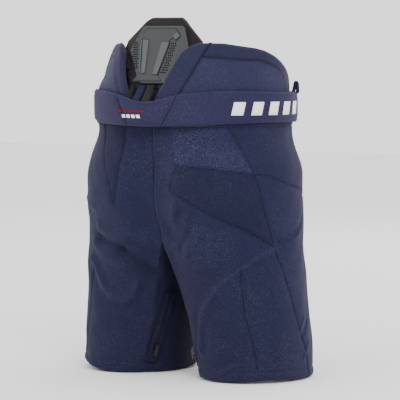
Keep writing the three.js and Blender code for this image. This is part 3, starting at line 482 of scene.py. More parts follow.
SHELL = cloth("Navy pants nylon", srgb(23, 26, 51), threads=420.0, contrast=0.5, sheen=0.07, fluff_and_sheen=0.15)
BELT_CLOTH = cloth("Navy belt cloth", srgb(34, 34, 60), threads=520.0, contrast=0.3, sheen=0.10, fluff_and_sheen=0.12)
WING_CLOTH = cloth("Navy brushed wing cloth", srgb(31, 33, 58), threads=620.0, contrast=0.25, sheen=0.12,
                   fluff_and_sheen=0.14)
LINING = cloth("Dark lining mesh", srgb(14, 16, 34), threads=300.0, relief=0.8, sheen=0.05, fluff_and_sheen=0.1)
GUARD_CLOTH = cloth("Charcoal guard mesh", srgb(30, 27, 27), threads=330.0, relief=0.8, contrast=0.5,
                    sheen=0.08, tint=(1.0, 0.95, 0.92), fluff_and_sheen=0.12)
WEBBING = cloth("Olive webbing", srgb(26, 28, 25), threads=380.0, relief=1.0, contrast=0.5, sheen=0.05,
                tint=(1.0, 1.0, 0.9), fluff_and_sheen=0.15)
NAVY_TAPE = cloth("Navy tape", srgb(22, 25, 50), threads=420.0, relief=0.8, sheen=0.08)
PANTS_TAPE = cloth("Dark navy zipper tape", srgb(17, 20, 40), threads=420.0, relief=0.8, sheen=0.05, fluff_and_sheen=0.1)
LACE_CLOTH = cloth("White braided lace", srgb(190, 190, 186), threads=500.0, relief=1.0, sheen=0.1,
                   tint=(1.0, 1.0, 1.0), fluff_and_sheen=0.0)
WHITE_THREAD = cloth("White embroidery", srgb(238, 238, 242), threads=900.0, relief=0.4, contrast=0.08,
                     patchiness=0.03, sheen=0.0, tint=(1.0, 1.0, 1.0), fluff_and_sheen=0.0)
RED_THREAD = cloth("Red embroidery", srgb(110, 22, 44), threads=900.0, relief=0.6, contrast=0.1, sheen=0.0,
                   tint=(1.0, 0.8, 0.8), fluff_and_sheen=0.0)
GUARD_PLASTIC = hard("Grey guard plastic", srgb(36, 39, 42), roughness=0.55)
RIB_PLASTIC = hard("Light guard ribs", srgb(58, 62, 64), roughness=0.42)
# Near-black plastic for the outlines round the ribs and channel: painted shade in the crevices at their foot.
SHADE_OUTLINE_PLASTIC = hard("Black painted shade outline", srgb(16, 17, 18), roughness=0.6)
BUTTON_PLASTIC = hard("Black button plastic", srgb(22, 23, 26), roughness=0.35, coat=0.2)
METAL = hard("Gunmetal plating", srgb(58, 60, 66), roughness=0.34, grain=1500.0, metallic=1.0)
THREAD = cloth("Navy thread", srgb(38, 41, 72), threads=2000.0, relief=0.2, sheen=0.1, fluff_and_sheen=0.0)
PAD_CLOTH = cloth("Dark pad cloth", srgb(22, 24, 38), threads=420.0)


# Padded halves of the pants

# Seams are lines of (degrees, height). A fold is its height, its width and its line.
RIGHT_SEAMS = [
    [(46, 432), (54, 390), (60, 350)],
    [(60, 350), (70, 348), (81, 336), (98, 322), (150, 285)],
    [(71, 226), (77, 192), (86, 116), (95, 48), (98, 0)],
    [(48, 190), (50, 116), (54, 70), (56, 20)],
]
RIGHT_PANEL = [(14, 364), (27, 362), (43, 356), (59, 350), (62, 340), (65, 314), (70, 228),
               (35, 278), (17, 310), (9, 322)]
RIGHT_RIDGE = [(69, 226), (55, 206), (40, 176), (32, 158), (20, 114), (12, 52)]
# The yoke of the right half is painted lighter: a coarser cloth, with painted sheen where it faces the light.
RIGHT_SHEEN_YOKE = [(10, 437), (46, 437), (54, 390), (60, 350), (43, 356), (27, 362), (14, 364)]
RIGHT_FOLDS = [
    (2.2, 4, [(72, 228), (90, 240), (104, 262)]), (-2.4, 6, [(74, 236), (90, 249), (104, 270)]),
    (-4.2, 7, [(5, 246), (16, 286)]), (4.0, 8, [(3, 232), (10, 262), (14, 300)]),
    (-3.4, 6, [(10, 222), (19, 256), (24, 290)]), (3.0, 7, [(14, 210), (24, 250)]),
    (2.6, 5, [(46, 36), (38, 24), (30, 16)]), (2.8, 5, [(74, 36), (64, 22), (57, 14)]),
    (-2.4, 6, [(50, 46), (40, 36), (30, 28)]), (-2.4, 6, [(78, 50), (66, 34)]),
    (2.0, 4, [(96, 104), (90, 84)]), (-2.2, 4, [(100, 96), (92, 72)]), (2.0, 4, [(100, 62), (93, 40)]),
    (-1.4, 6, [(60, 232), (50, 252), (42, 262)]), (1.0, 5, [(64, 262), (58, 296), (52, 316)]),
    (-1.0, 5, [(60, 262), (54, 292), (48, 310)])]
LEFT_SEAMS = [
    [(40, 432), (32, 384), (25, 346), (20, 294)],
    [(17, 432), (16, 376), (17, 348), (20, 294)],
    [(60, 350), (70, 348), (81, 336), (98, 322), (150, 285)],
    [(71, 226), (77, 192), (86, 116), (95, 48), (98, 0)],
    [(48, 184), (50, 116), (54, 70), (56, 20)],
]
# Between its two seams the left panel is painted darker as shade.
LEFT_SHADED_PANEL = [(17, 437), (40, 437), (32, 384), (25, 346), (20, 294), (17, 348), (16, 376)]
LEFT_RIDGE = [(50, 196), (43, 182), (35, 152), (27, 134), (18, 126), (12, 136), (10, 160)]
LEFT_FOLDS = [
    (-9.0, 11, [(20, 214), (10, 194), (2, 176)]), (-5.0, 8, [(38, 232), (31, 228), (20, 214)]),
    (-5.0, 11, [(14, 226), (6, 214), (0, 206)]), (4.5, 10, [(36, 250), (20, 244), (6, 240)]),
    (3.2, 8, [(44, 222), (32, 204), (20, 188)]), (-1.8, 6, [(56, 250), (44, 244), (34, 236)]),
    (1.6, 6, [(58, 300), (50, 290), (40, 288)]), (-1.6, 5, [(60, 290), (50, 280), (42, 276)]),
    (1.4, 6, [(20, 60), (10, 30)]), (-1.2, 6, [(30, 24), (16, 18)])]
HALF = {
    1: dict(seams=LEFT_SEAMS, panel=LEFT_SHADED_PANEL, ridge=LEFT_RIDGE, folds=LEFT_FOLDS, sheen_yoke=[(0, 0)] * 3),
    -1: dict(seams=RIGHT_SEAMS, panel=RIGHT_PANEL, ridge=RIGHT_RIDGE, folds=RIGHT_FOLDS, sheen_yoke=RIGHT_SHEEN_YOKE),
}
HEM_RADIUS = 6
TOP_RADIUS = 3
HEM_ROLL, HEM_STITCH = 9, 17
ZIP_RECESS = 3.0


def zip_line():
    ends = inner(np.array([0.95, 0.82]), np.array([0.07, 0.62]))
    t = np.linspace(-0.06, 1.06, 90)[:, None]
    return mix(ends[:1], ends[1:], t)


def half_rings(step, top):
    """The rings of a half: leg rings run round the inner thigh too, seat rings stop at the middle."""
    columns = np.linspace(0, 180, int(560 / step) + 1)
    shares = np.linspace(0, 1, int(190 / step) + 1)[1:-1]
    rises = np.linspace(0, 1, int(CROTCH_END / step) + 1)
    heights = np.linspace(CROTCH_END, top, int((top - CROTCH_END) / step) + 1)[1:]
    legs = np.concatenate([outer(columns[None], CROTCH_END * rises[:, None]),
                           inner(shares[None], rises[:, None])], 1)
    seat = outer(columns[None], heights[:, None])
    return columns, shares, rises, heights, legs, seat


def ring_centres(shares, rises, columns, heights):
    """The upright line that each point of the rings sinks towards."""
    blend = rises[:, None] ** 2.5
    leg_x = 121 - 20 * rises[:, None]
    outside = mix(leg_x, 0, blend) + 0 * columns[None]
    top = 101 * (1 - np.abs(2 * shares - 1) ** 1.5)
    inside_x = mix(leg_x + 0 * shares[None], top[None], blend)
    return np.concatenate([outside, inside_x], 1), mix(-8, 0, blend) + FRAME_Y


def half_faces(rows_leg, ring, rows_seat, columns):
    """Faces of the outer sheet, then the edges where the two sheets are joined, as vertex pairs."""
    start = rows_leg * ring
    sheet = grid_faces(rows_leg, ring, wrap=True)
    top = start - ring

    def seat(r, c):
        return top + c if r < 0 else start + r * columns + c

    for r in range(-1, rows_seat - 1):
        sheet += [(seat(r, c), seat(r, c + 1), seat(r + 1, c + 1), seat(r + 1, c))
                  for c in range(columns - 1)]
    edges = [(c, (c + 1) % ring) for c in range(ring)]
    edges += [(seat(rows_seat - 1, c + 1), seat(rows_seat - 1, c)) for c in range(columns - 1)]
    edges += [(top + (c + 1) % ring, top + c) for c in range(columns - 1, ring)]
    for r in range(-1, rows_seat - 1):
        edges += [(seat(r, columns - 1), seat(r + 1, columns - 1)), (seat(r + 1, 0), seat(r, 0))]
    return sheet, edges


def sheet_normals(points, faces):
    """The outward direction at each point of a sheet of four-sided faces."""
    quads = np.array(faces)
    a, b, c, d = (points[quads[:, i]] for i in range(4))
    normal = np.cross(c - a, d - b)
    total = np.zeros_like(points)
    for i in range(4):
        np.add.at(total, quads[:, i], normal)
    return total / np.maximum(np.linalg.norm(total, axis=1, keepdims=True), 1e-9)


def fly_gap(points, deg):
    """The slit down the middle of the front."""
    gap = 7.5 * smooth(points[:, 2], 342, 352)
    opened = np.maximum(points[:, 0], gap * (1 - smooth(180 - deg, 0, 8)))
    points[:, 0] = np.where(deg > 150, opened, points[:, 0])


def half_shape(points, deg, is_inner, side):
    """How far the stuffed shell stands out (+) or is drawn in (-), and the tone of its cloth, with painted
    shade and sheen in it.
    """
    marks = HALF[side]
    z = points[:, 2]
    out = 1.6 * lumps(points, 130, 3 + side) + 0.7 * lumps(points, 45, 11 + side)
    seam_gap = np.full(len(points), 1e9)
    for line in marks["seams"] + [marks["panel"] + marks["panel"][:1]]:
        seam_gap = np.minimum(seam_gap, distance(points, traced(line, outer)))
    out += -1.5 * bell(seam_gap, 2.6) - 0.8 * np.exp(-seam_gap / 14)
    middle = np.where(is_inner, 99, points[:, 0])
    out += 1.6 * bell(middle, 26) * smooth(z, 300, 360) - 0.9 * bell(middle, 4.0) * (z > 225)
    ridge = distance(points, traced(marks["ridge"], outer))
    out += 3.6 * bell(ridge, 5.5) - 1.8 * bell(ridge - 15, 9)
    shadow = 1
    for height, width, line in marks["folds"]:
        fold = bell(distance(points, traced(line, outer)), width)
        out += height * fold
        if height < -3:
            shadow = shadow * (1 + 0.03 * height * fold)
    out += bell(z - HEM_ROLL, 6) - bell(z - HEM_STITCH, 2.2) * (z < 40)
    zipper = distance(points, zip_line())
    out -= ZIP_RECESS * (1 - smooth(zipper, 10, 17))
    belt_pinch = 3.0 if side < 0 else 0.5
    out -= belt_pinch * smooth(z, 424, PANTS_TOP)
    # Darker inside the panel: on the right half a darker stretch cloth, on the left half painted shade.
    tone = np.where(inside(marks["panel"], deg, z), 0.84, 1.0)
    # The right yoke is lighter and takes more specks: coarser cloth with painted sheen.
    tone = np.where(inside(marks["sheen_yoke"], deg, z), 1.25, tone)
    # Painted shade along the seam grooves and deep folds, and a painted highlight along the crest of the
    # thigh ridge.
    tone *= (1 - 0.35 * bell(seam_gap, 1.8)) * (1 + 0.22 * bell(ridge, 3.5)) * shadow
    # Painted shade: below the crotch the back of each leg is darker than its side.
    tone *= 1 - 0.10 * smooth(CROTCH_END - z, 0, 60) * (1 - smooth(deg, 68, 80))
    # The inner thighs are painted darker as shade between the legs.
    return out, np.where(is_inner, 0.75, tone)


def half_piece(name, side, near, far, step, top, foot, material, shaped):
    """One half of the pants between two depths below its outside, bending between hips and leg."""
    columns, shares, rises, heights, legs, seat = half_rings(step, top)
    if foot:
        legs[..., 2] = mix(foot, legs[..., 2], smooth(legs[..., 2], 0, 60))
    centre_x, centre_y = ring_centres(shares, rises, columns, heights)

    def layer(depth):
        return np.concatenate([sunk(legs, centre_x, centre_y, depth).reshape(-1, 3),
                               sunk(seat, 0, FRAME_Y, depth).reshape(-1, 3)])

    leg_ring = np.concatenate([columns, np.full(len(shares), 180.0)])
    deg = np.concatenate([np.tile(leg_ring, len(rises)), np.tile(columns, len(heights))])
    is_inner = np.zeros(len(deg), bool)
    is_inner[:legs[..., 0].size] = np.tile(np.arange(len(leg_ring)) >= len(columns), len(rises))
    front, back = layer(near), layer(far)
    sheet, edges = half_faces(len(rises), legs.shape[1], len(heights), len(columns))
    tone = np.ones(len(front))
    if shaped:
        normal = sheet_normals(front, sheet)
        if (normal[:, :2] * (front[:, :2] - [100, 0])).sum() < 0:
            normal = -normal
        out, tone = half_shape(front, deg, is_inner, side)
        z = front[:, 2]
        low = np.clip(z, 0, HEM_RADIUS)
        out -= HEM_RADIUS - np.sqrt(HEM_RADIUS ** 2 - (HEM_RADIUS - low) ** 2)
        high = np.clip(top - z, 0, TOP_RADIUS)
        out -= TOP_RADIUS - np.sqrt(TOP_RADIUS ** 2 - (TOP_RADIUS - high) ** 2)
        seam_edge = (front[:, 0] < 0.6) & (z > CROTCH_END - 1)
        front = front + normal * out[:, None]
        front[seam_edge, 0] = 0.3
    lift = 13 * bell(deg - 66, 22) * np.clip(1 - front[:, 2] / 70, 0, 1) * ~is_inner
    if side < 0:
        lift *= 0.35
    for points in (front, back):
        points[:, 2] = np.maximum(points[:, 2] + lift, foot)
        points[:, 0] = np.maximum(points[:, 0], 0.3)
        fly_gap(points, np.where(is_inner, 0, deg))
    u = np.concatenate([arcs(legs)[0].ravel(), arcs(seat)[0].ravel()])
    uv = np.tile(np.stack([u, front[:, 2]], -1) * MM, (2, 1))
    both = np.concatenate([front, back])
    both[:, 0] *= side
    made = piece(name, both, closed(sheet, edges, len(front)), material, uv, np.tile(tone, 2))
    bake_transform(made)
    return made


def make_halves():
    for label, side in SIDES:
        half = half_piece(f"pants_half_{label}", side, 0, SHELL_DEPTH, 3.0, PANTS_TOP, 0, SHELL, True)
        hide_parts(*[f"{n}_{label}" for n in ("seat_shell", "leg_shell", "hip_pad_foam", "hip_pad_cap",
                                                    "thigh_pad_foam", "thigh_pad_cap", "hem_facing")])
        lining = half_piece(f"lining_{label}", side, LINING_DEPTH, LINING_DEPTH + LINING_THICKNESS, 7.0,
                            PANTS_TOP - 0.5, 3.0, LINING, False)
        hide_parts(f"seat_lining_{label}", f"leg_lining_{label}")


# Kidney wings

WING_FRONT = 138
WING_TOP = [(18, 568), (44, 567), (61, 562), (72, 559), (80, 555), (88, 548), (98, 537), (109, 523),
            (120, 505), (WING_FRONT, 476)]
STRIP_SEAM = [(40, 568), (34, 544), (28, 516), (22, 488), (18, 462)]
ROLL_END = 96
ROLL_SEAM = [(35, 543), (49, 540), (59, 538), (73, 537), (81, 532), (88, 526), (93, 518), (ROLL_END, 504),
             (ROLL_END, 462)]
WING_CREASES = [(-1.3, 5, [(48, 530), (70, 526), (88, 510)]), (1.2, 6, [(40, 520), (62, 514), (84, 500)]),
                (-1.0, 5, [(30, 500), (52, 498), (76, 492)])]


def wing_grid(foot_opening, top_opening, flop):
    """The wing between its back edge and its front end, leaning in by flop at its side."""
    share = np.linspace(0, 1, 170)[None]
    high = np.linspace(0, 1, 60)[:, None]
    top = np.interp(mix(WING_TOP[0][0], WING_FRONT, share), *np.array(WING_TOP).T)
    top = top - 16 * np.exp(-(share * 330 / 9) ** 1.3)
    z = mix(439, top, high)
    over = np.clip((z - BELT_TOP) / WING_RISE, 0, None)
    half_width = wing_face(np.full(z.shape, 90.0), z)[..., 0]
    opening = np.degrees(np.arcsin(mix(foot_opening, top_opening, over) / half_width))
    deg = mix(opening, WING_FRONT, share)
    lean = flop * smooth(over, 0, 0.35) * smooth(deg, 22, 50) * (1 - smooth(deg, 95, 130))
    return deg, z, sunk(wing_face(deg, z), 0, FRAME_Y, lean)


WING_HALF = 5.6


def wing_relief(deg, z, face):
    """How far the faces of the stuffed wing stand off its middle, and the tone of its cloth, with painted
    shade in its seam grooves.
    """
    plain = wing_face(deg, z)
    gap = edge_distance(face)
    strip = distance(plain, traced(STRIP_SEAM, wing_face))
    roll = distance(plain, traced(ROLL_SEAM, wing_face))
    seams = np.minimum(strip, roll)
    seam_deg = np.interp(z, [p[1] for p in STRIP_SEAM][::-1], [p[0] for p in STRIP_SEAM][::-1])
    groove_z = np.interp(deg, [p[0] for p in ROLL_SEAM[:8]], [p[1] for p in ROLL_SEAM[:8]])
    in_roll = (((z > groove_z) & (deg > seam_deg)) | (deg > ROLL_END)) * 1.0
    body = WING_HALF * rim(gap, 10)
    bulge = WING_HALF * np.sqrt(np.clip(1 - ((roll - 11) / 12.5) ** 2, 0, 1)) * rim(gap, 12)
    front = body + 2.4 * (1 - np.exp(-seams / 12)) * rim(gap, 22) + bulge * in_roll
    front -= 7.0 * bell(roll, 3.8) * smooth(deg, 33, 38) + 5.0 * bell(strip, 3.0)
    front += 2.2 * bell(strip - 7, 5) * (deg > seam_deg)
    for height, width, crease in WING_CREASES:
        front += height * bell(distance(plain, traced(crease, wing_face)), width) * (1 - in_roll)
    front += 0.9 * lumps(plain, 60, 21) + 0.35 * lumps(plain, 24, 22)
    # Painted shade darkens the seam grooves; the roll, the strip and the main panel each have their own tone.
    tone = 1 - 0.6 * bell(seams, 2.6) - 0.12 * in_roll - 0.08 * (deg < seam_deg)
    tone += 0.12 * (1 - in_roll) * (deg > seam_deg)
    return front, body, tone


def make_wings():
    """The left wing flops inwards, and both stand open behind, more so at the top."""
    for label, side, openings, flop in (("left", 1, (46, 79), 7.5), ("right", -1, (23, 66), 0.0)):
        deg, z, face = wing_grid(*openings, flop)
        front, body, tone = wing_relief(deg, z, face)
        wing = stuffed(f"wing_{label}", sunk(face, 0, FRAME_Y, 6.2), front, body, WING_CLOTH, tone, side)
        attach(wing, "hips")
        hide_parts(f"wing_back_strip_{label}", f"wing_cover_{label}", f"wing_foam_{label}")


# Belt

BELT_HIGH = [(0, 470), (6.5, 471.5), (13, 477.5), (20, 482.5), (30, 486.5), (47, 489), (87, 485.5),
             (180, BELT_TOP)]
BELT_LOW = [(0, 428.5), (17, 429.5), (38, 432), (52, 434), (70, 435.5), (110, 434), (180, 431)]


def belt_grid(first, last, columns, rows=17):
    """Rows of belt between two edges, each given as degrees at the foot and at the top."""
    across = np.linspace(0, 1, columns)[None]
    high = np.linspace(0, 1, rows)[:, None]
    deg = mix(mix(first[0], first[1], high), mix(last[0], last[1], high), across)
    low = np.interp(np.abs(deg), *np.array(BELT_LOW).T)
    top = np.interp(np.abs(deg), *np.array(BELT_HIGH).T)
    return deg, mix(low, top, high)


def belt_part(name, deg, z, thickness, out, puff=0.8, seed=5):
    """A padded length of belt with a stitched groove inside its edge, painted darker as shade, snug at the
    left side.
    """
    snug = 3.2 * smooth(deg, 28, 60) * (1 - smooth(deg, 100, 140))
    points = belt_face(deg, z, out + thickness / 2 - snug)
    gap = edge_distance(points)
    half = thickness / 2 * rim(gap, 3.2)
    front = half + puff * smooth(gap, 2, 16) + 0.5 * lumps(points, 70, seed) * smooth(gap, 0, 10)
    front -= 0.55 * bell(gap - 5.5, 1.3)
    # Painted shade along the stitched groove.
    tone = 1 - 0.14 * bell(gap - 5.5, 1.2)
    return stuffed(name, points, front, half, BELT_CLOTH, tone)


def across_belt(x, half_width=BELT_HALF_WIDTH):
    """The degrees at which the belt is x from the middle."""
    return math.degrees(math.asin(x / half_width))


def make_belt():
    seam = (across_belt(33), across_belt(61))
    deg, z = belt_grid((-seam[0], -seam[1]), (seam[0], seam[1]), 41)
    back = belt_part("belt_back_panel", deg[:, ::-1], z[:, ::-1], BELT_CLOTH_THICKNESS, 0)
    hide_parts("belt_back")
    parts = [back]
    front_end = 180 - across_belt(20)
    for label, side in SIDES:
        first = (seam[0] + 0.15, seam[1] + 0.15)
        deg, z = belt_grid(first, (front_end, front_end), 170)
        if side > 0:
            deg, z = deg[:, ::-1], z[:, ::-1]
        part = belt_part(f"belt_side_panel_{label}", deg * side, z, BELT_CLOTH_THICKNESS, 0, seed=6 + side)
        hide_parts(f"belt_side_{label}")
        parts.append(part)
    for part in parts:
        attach(part, "hips")
    half_tab = across_belt(62, 190)
    high = np.linspace(0, 1, 15)[:, None]
    deg = mix(180 + half_tab, 180 - half_tab, np.linspace(0, 1, 44)[None]) + 0 * high
    tab = belt_part("belt_tab_cover", deg, mix(438, 476, high) + 0 * deg, 2.8, 6.4, puff=0.2)
    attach(tab, "belt_tab")
    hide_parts("belt_tab")


def make_side_tabs():
    """A doubled tab that stands up behind the belt at each side, with a small white end."""
    turn = np.linspace(0, math.pi, 15)
    route = np.concatenate([[(0.0, 470.0), (1.0, 484.0)],
                            np.stack([6 - 2.0 * np.cos(turn), 496 + 5 * np.sin(turn)], -1),
                            [(8.5, 490.0), (8.5, 482.0)]])
    long = lengths(route)
    lift, z = (np.interp(np.linspace(0, 1, 40) * long[-1], long, route[:, i])[:, None] for i in (0, 1))
    deg = mix(112, 120, np.linspace(0, 1, 9))[None] + 0 * z
    points = belt_face(deg, z + 0 * deg, lift - 2.2)
    gap = edge_distance(points)
    half = 2.9 * rim(gap, 3.5)
    share = np.linspace(0, 1, 6)
    white_end = belt_face(mix(113, 117, share)[None], mix(481, 486, share)[:, None], 9.8)
    thin = np.full((6, 6), 0.5)
    for label, side in SIDES:
        tab = stuffed(f"side_tab_{label}", points, half, half, NAVY_TAPE, 1 - 0.2 * bell(gap - 2, 0.8), side)
        flag = stuffed(f"side_tab_label_{label}", white_end, thin, thin, WHITE_THREAD, None, side)
        for made in (tab, flag):
            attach(made, "hips")


def bar(deg0, deg1, z0, z1, slant):
    """The face of one flat mark sewn on the belt, leaning by slant degrees."""
    high = np.linspace(0, 1, 4)[:, None]
    deg = mix(deg0, deg1, np.linspace(0, 1, 7))[None] + slant * high
    return belt_face(deg, mix(z0, z1, high) + 0 * deg, 6.2)


def make_mark(name, bars, thickness, material):
    points, faces, uv = [], [], []
    for grid in bars:
        rows, columns = grid.shape[:2]
        normal = grid_normals(grid).reshape(-1, 3)
        middle = grid.reshape(-1, 3)
        if (normal[:, :2] * middle[:, :2]).sum() < 0:
            normal = -normal
        start = len(points)
        points += list(middle + normal * thickness) + list(middle)
        faces += closed(grid_faces(rows, columns, start), border(rows, columns, start), rows * columns)
        uv += list(np.tile(np.stack(arcs(grid), -1).reshape(-1, 2) * MM, (2, 1)))
    made = piece(name, points, faces, material, uv)
    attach(made, "hips")


def make_marks():
    """Slanted white bars at the right side, a red dashed line and white dashes behind."""
    white = [bar(-d, -d - 7.0, 448, 470, -1.8) for d in range(49, 98, 12)]
    make_mark("side_mark_white", white, 0.8, WHITE_THREAD)
    small = [bar(13.8 - 3.3 * k, 11.5 - 3.3 * k, 442.5, 448, 0.5) for k in range(4)]
    make_mark("back_mark_white", small, 0.7, WHITE_THREAD)
    red = [bar(17.6 - 3.8 * k, 14.4 - 3.8 * k, 452.5, 455.5, 0.3) for k in range(5)]
    make_mark("back_mark_red", red, 0.7, RED_THREAD)


# Spine guard: x across, v up the guard, w forwards from the outer face of its foam

LEAN = math.radians(20)
GUARD_Y, GUARD_Z = 126 + FRAME_Y, 491.0
FOAM_LEFT = [(0, 36), (6, 44), (13, 56), (31, 70), (56, 82), (78, 87), (90, 83), (112, 57), (124, 42),
             (130, 32)]
FOAM_RIGHT = [(0, 36), (6, 44), (13, 56), (31, 66), (56, 74), (78, 77), (90, 72), (112, 48), (124, 36),
              (130, 27)]
FLAT_HALF, CURL = 42, math.radians(14)


def guard_place(x, v, w):
    """A place on the guard, given across, up and forwards."""
    return np.stack(np.broadcast_arrays(x, GUARD_Y - v * math.sin(LEAN) - w * math.cos(LEAN),
                                        GUARD_Z + v * math.cos(LEAN) - w * math.sin(LEAN)), -1)


def make_guard_foam():
    v = np.linspace(0.5, 130, 56)[:, None]
    c = np.linspace(1, -1, 61)[None]
    left = np.interp(v, *np.array(FOAM_LEFT).T)
    right = np.interp(v, *np.array(FOAM_RIGHT).T)
    x = np.where(c > 0, left, right) * c
    past = np.maximum(np.abs(x) - FLAT_HALF, 0)
    flat_x = np.sign(x) * (np.minimum(np.abs(x), FLAT_HALF) + past * math.cos(CURL))
    points = guard_place(flat_x, v + 0 * c, 7.4 + past * math.sin(CURL))
    gap = edge_distance(points)
    half = 6.2 * rim(gap, 8)
    front = half + 0.6 * lumps(points, 40, 31) * smooth(gap, 4, 16) - 0.8 * bell(gap - 9, 1.8)
    front -= 0.6 * (np.abs(x) < 52) * smooth(gap, 10, 20)
    # Painted shade along the stitched groove inside the cushion's edge.
    tone = 1 - 0.25 * bell(gap - 9, 1.4)
    foam = stuffed("guard_cushion", points, front, half, GUARD_CLOTH, tone)
    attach(foam, "spine_guard")
    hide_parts("guard_foam")
    down = np.linspace(0, 1, 7)[:, None]
    across = mix(np.array([[76.0, 63.0]]), np.array([[70.0, 58.0]]), down)
    keeper = guard_place(across, mix(58, 36, down), 4.4)
    size = keeper.shape[:2]
    strap = stuffed("guard_keeper", keeper, np.full(size, 1.2), np.full(size, 1.0), WEBBING)
    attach(strap, "spine_guard")


def solid_outline(name, corners, low, high):
    """A flat-bottomed block with the given corners, raised from low to high."""
    bpy.ops.mesh.primitive_circle_add(vertices=len(corners), radius=1, fill_type="NGON")
    obj = bpy.context.object
    obj.name = name
    for vertex, (x, y) in zip(obj.data.vertices, corners):
        vertex.co = (x, y, low)
    bpy.ops.object.mode_set(mode="EDIT")
    bpy.ops.mesh.select_all(action="SELECT")
    bpy.ops.mesh.extrude_region_move(TRANSFORM_OT_translate={"value": (0, 0, high - low)})
    bpy.ops.mesh.select_all(action="SELECT")
    bpy.ops.mesh.normals_make_consistent(inside=False)
    bpy.ops.object.mode_set(mode="OBJECT")
    return obj


def pick(obj):
    """Makes a piece the active one and the only one selected."""
    for other in bpy.context.selected_objects:
        other.select_set(False)
    bpy.context.view_layer.objects.active = obj
    obj.select_set(True)


def apply(obj, kind, **settings):
    """Adds a modifier with these settings and applies it."""
    pick(obj)
    modifier = obj.modifiers.new(kind.title(), kind)
    for key, value in settings.items():
        setattr(modifier, key, value)
    bpy.ops.object.modifier_apply(modifier=modifier.name)
    obj.select_set(False)


def onto_guard(obj):
    """Moves a piece modelled as (across, up, out) in millimetres to the guard."""
    for vertex in obj.data.vertices:
        x, v, out = vertex.co
        vertex.co = Vector((guard_place(x, v, -out) * MM).tolist())
    obj.data.update()
    outward(obj.data)


PLATE = [(24, 8), (34, 17), (60, 68), (57, 76), (42, 108), (38, 111), (-38, 111), (-42, 108), (-57, 76),
         (-60, 68), (-34, 17), (-24, 8)]
CHANNEL = [(40, 13), (30, 24), (30, 84), (38, 96), (30, 104), (-26, 104), (-34, 96), (-16, 82), (-8, 22),
           (-18, 13)]
RIBS = {"wide_left": [(24.6, 25), (17.6, 25), (23, 83), (26, 85), (33, 85), (35.5, 83)],
        "thin_left": [(31, 27), (28.6, 27), (37.6, 85), (40.2, 85)],
        "wide_right": [(1.6, 23), (-8.4, 23), (-19.6, 79), (-17, 81), (-6, 81), (-4, 79)],
        "far_right": [(-24, 92), (-31, 99), (-38, 92), (-31, 85)]}


def drill_holes(plate):
    """Two staggered fields of small holes, one beside each pair of ribs."""
    holes = []
    for row in range(12):
        t = row / 11
        holes += [(mix(36.5, 46, t) + 3.7 * k + 1.8 * (row % 2), mix(35, 80, t)) for k in range(3)]
    for row in range(13):
        t = row / 12
        holes += [(mix(-15, -24, t) - 3.9 * k - 1.9 * (row % 2), mix(27, 79, t)) for k in range(3)]
    made = bmesh.new()
    for x, y in holes:
        found = bmesh.ops.create_cone(made, cap_ends=True, segments=10, radius1=1.5, radius2=1.5, depth=9)
        bmesh.ops.translate(made, verts=found["verts"], vec=(x, y, 3.4))
    mesh = bpy.data.meshes.new("drill")
    made.to_mesh(mesh)
    made.free()
    drill = bpy.data.objects.new("drill", mesh)
    bpy.context.scene.collection.objects.link(drill)
    apply(plate, "BOOLEAN", object=drill, operation="DIFFERENCE", solver="EXACT")
    bpy.data.objects.remove(drill)


def widened(corners, by):
    """Corners moved away from their middle."""
    corners = np.array(corners, float)
    way = corners - corners.mean(0)
    return corners + by * way / np.linalg.norm(way, axis=1, keepdims=True)


def bevelled(name, corners, low, high, width, segments):
    obj = solid_outline(name, corners, low, high)
    apply(obj, "BEVEL", width=width, segments=segments, limit_method="ANGLE")
    return obj


def make_guard_plate():
    """The shield with its raised channel and ribs, each set in a dark outline that is painted shade round its
    foot.
    """
    plate = bevelled("guard_shield", PLATE, 0.8, 5.6, 1.8, 3)
    channel = bevelled("guard_channel", CHANNEL, 4.0, 7.0, 0.8, 2)
    drill_holes(plate)
    # Black outlines a little wider than each rib and the channel, standing in for the shade round their foot.
    shade_outlines = [solid_outline(f"guard_shade_outline_{label}", widened(corners, 1.6), 4.0, 7.2)
              for label, corners in RIBS.items()]
    shade_outlines.append(solid_outline("guard_shade_outline_channel", widened(CHANNEL, 2.6), 4.0, 6.3))
    ribs = []
    for label, corners in RIBS.items():
        high, bevel = (8.6, 1.1) if "wide" in label else (7.6, 0.7)
        ribs.append(bevelled(f"guard_rib_{label}", corners, 4.0, high, bevel, 3))
    for parts, material in (([plate, channel], GUARD_PLASTIC), (ribs, RIB_PLASTIC), (shade_outlines, SHADE_OUTLINE_PLASTIC)):
        for obj in parts:
            onto_guard(obj)
            obj.data.materials.clear()
            obj.data.materials.append(material)
            pick(obj)
            bpy.ops.object.shade_smooth_by_angle(angle=math.radians(35))
            obj.select_set(False)
            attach(obj, "spine_guard")
    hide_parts("guard_plate")


# Straps from the belt to the guard

def ribbon(name, route, x_foot, x_tip, width, thickness, material):
    """A flat strap along (depth, height) points, its width across."""
    route = np.array(route, float)
    long = lengths(route)
    t = np.linspace(0, long[-1], 34)
    y, z = (np.interp(t, long, route[:, i]) for i in (0, 1))
    kernel = np.ones(5) / 5
    y[2:-2], z[2:-2] = np.convolve(y, kernel, "valid"), np.convolve(z, kernel, "valid")
    x = mix(x_foot, x_tip, t / t[-1])
    across = np.linspace(0.5, -0.5, 7)[None] * width
    points = np.stack(np.broadcast_arrays(x[:, None] + across, y[:, None] + FRAME_Y, z[:, None]), -1)
    gap = width / 2 - np.abs(across) + 0 * y[:, None]
    half = thickness / 2 * rim(gap, 1.6)
    tone = 1 - 0.25 * bell(gap - 2.2, 0.9)
    return stuffed(name, points, half, half, material, tone)


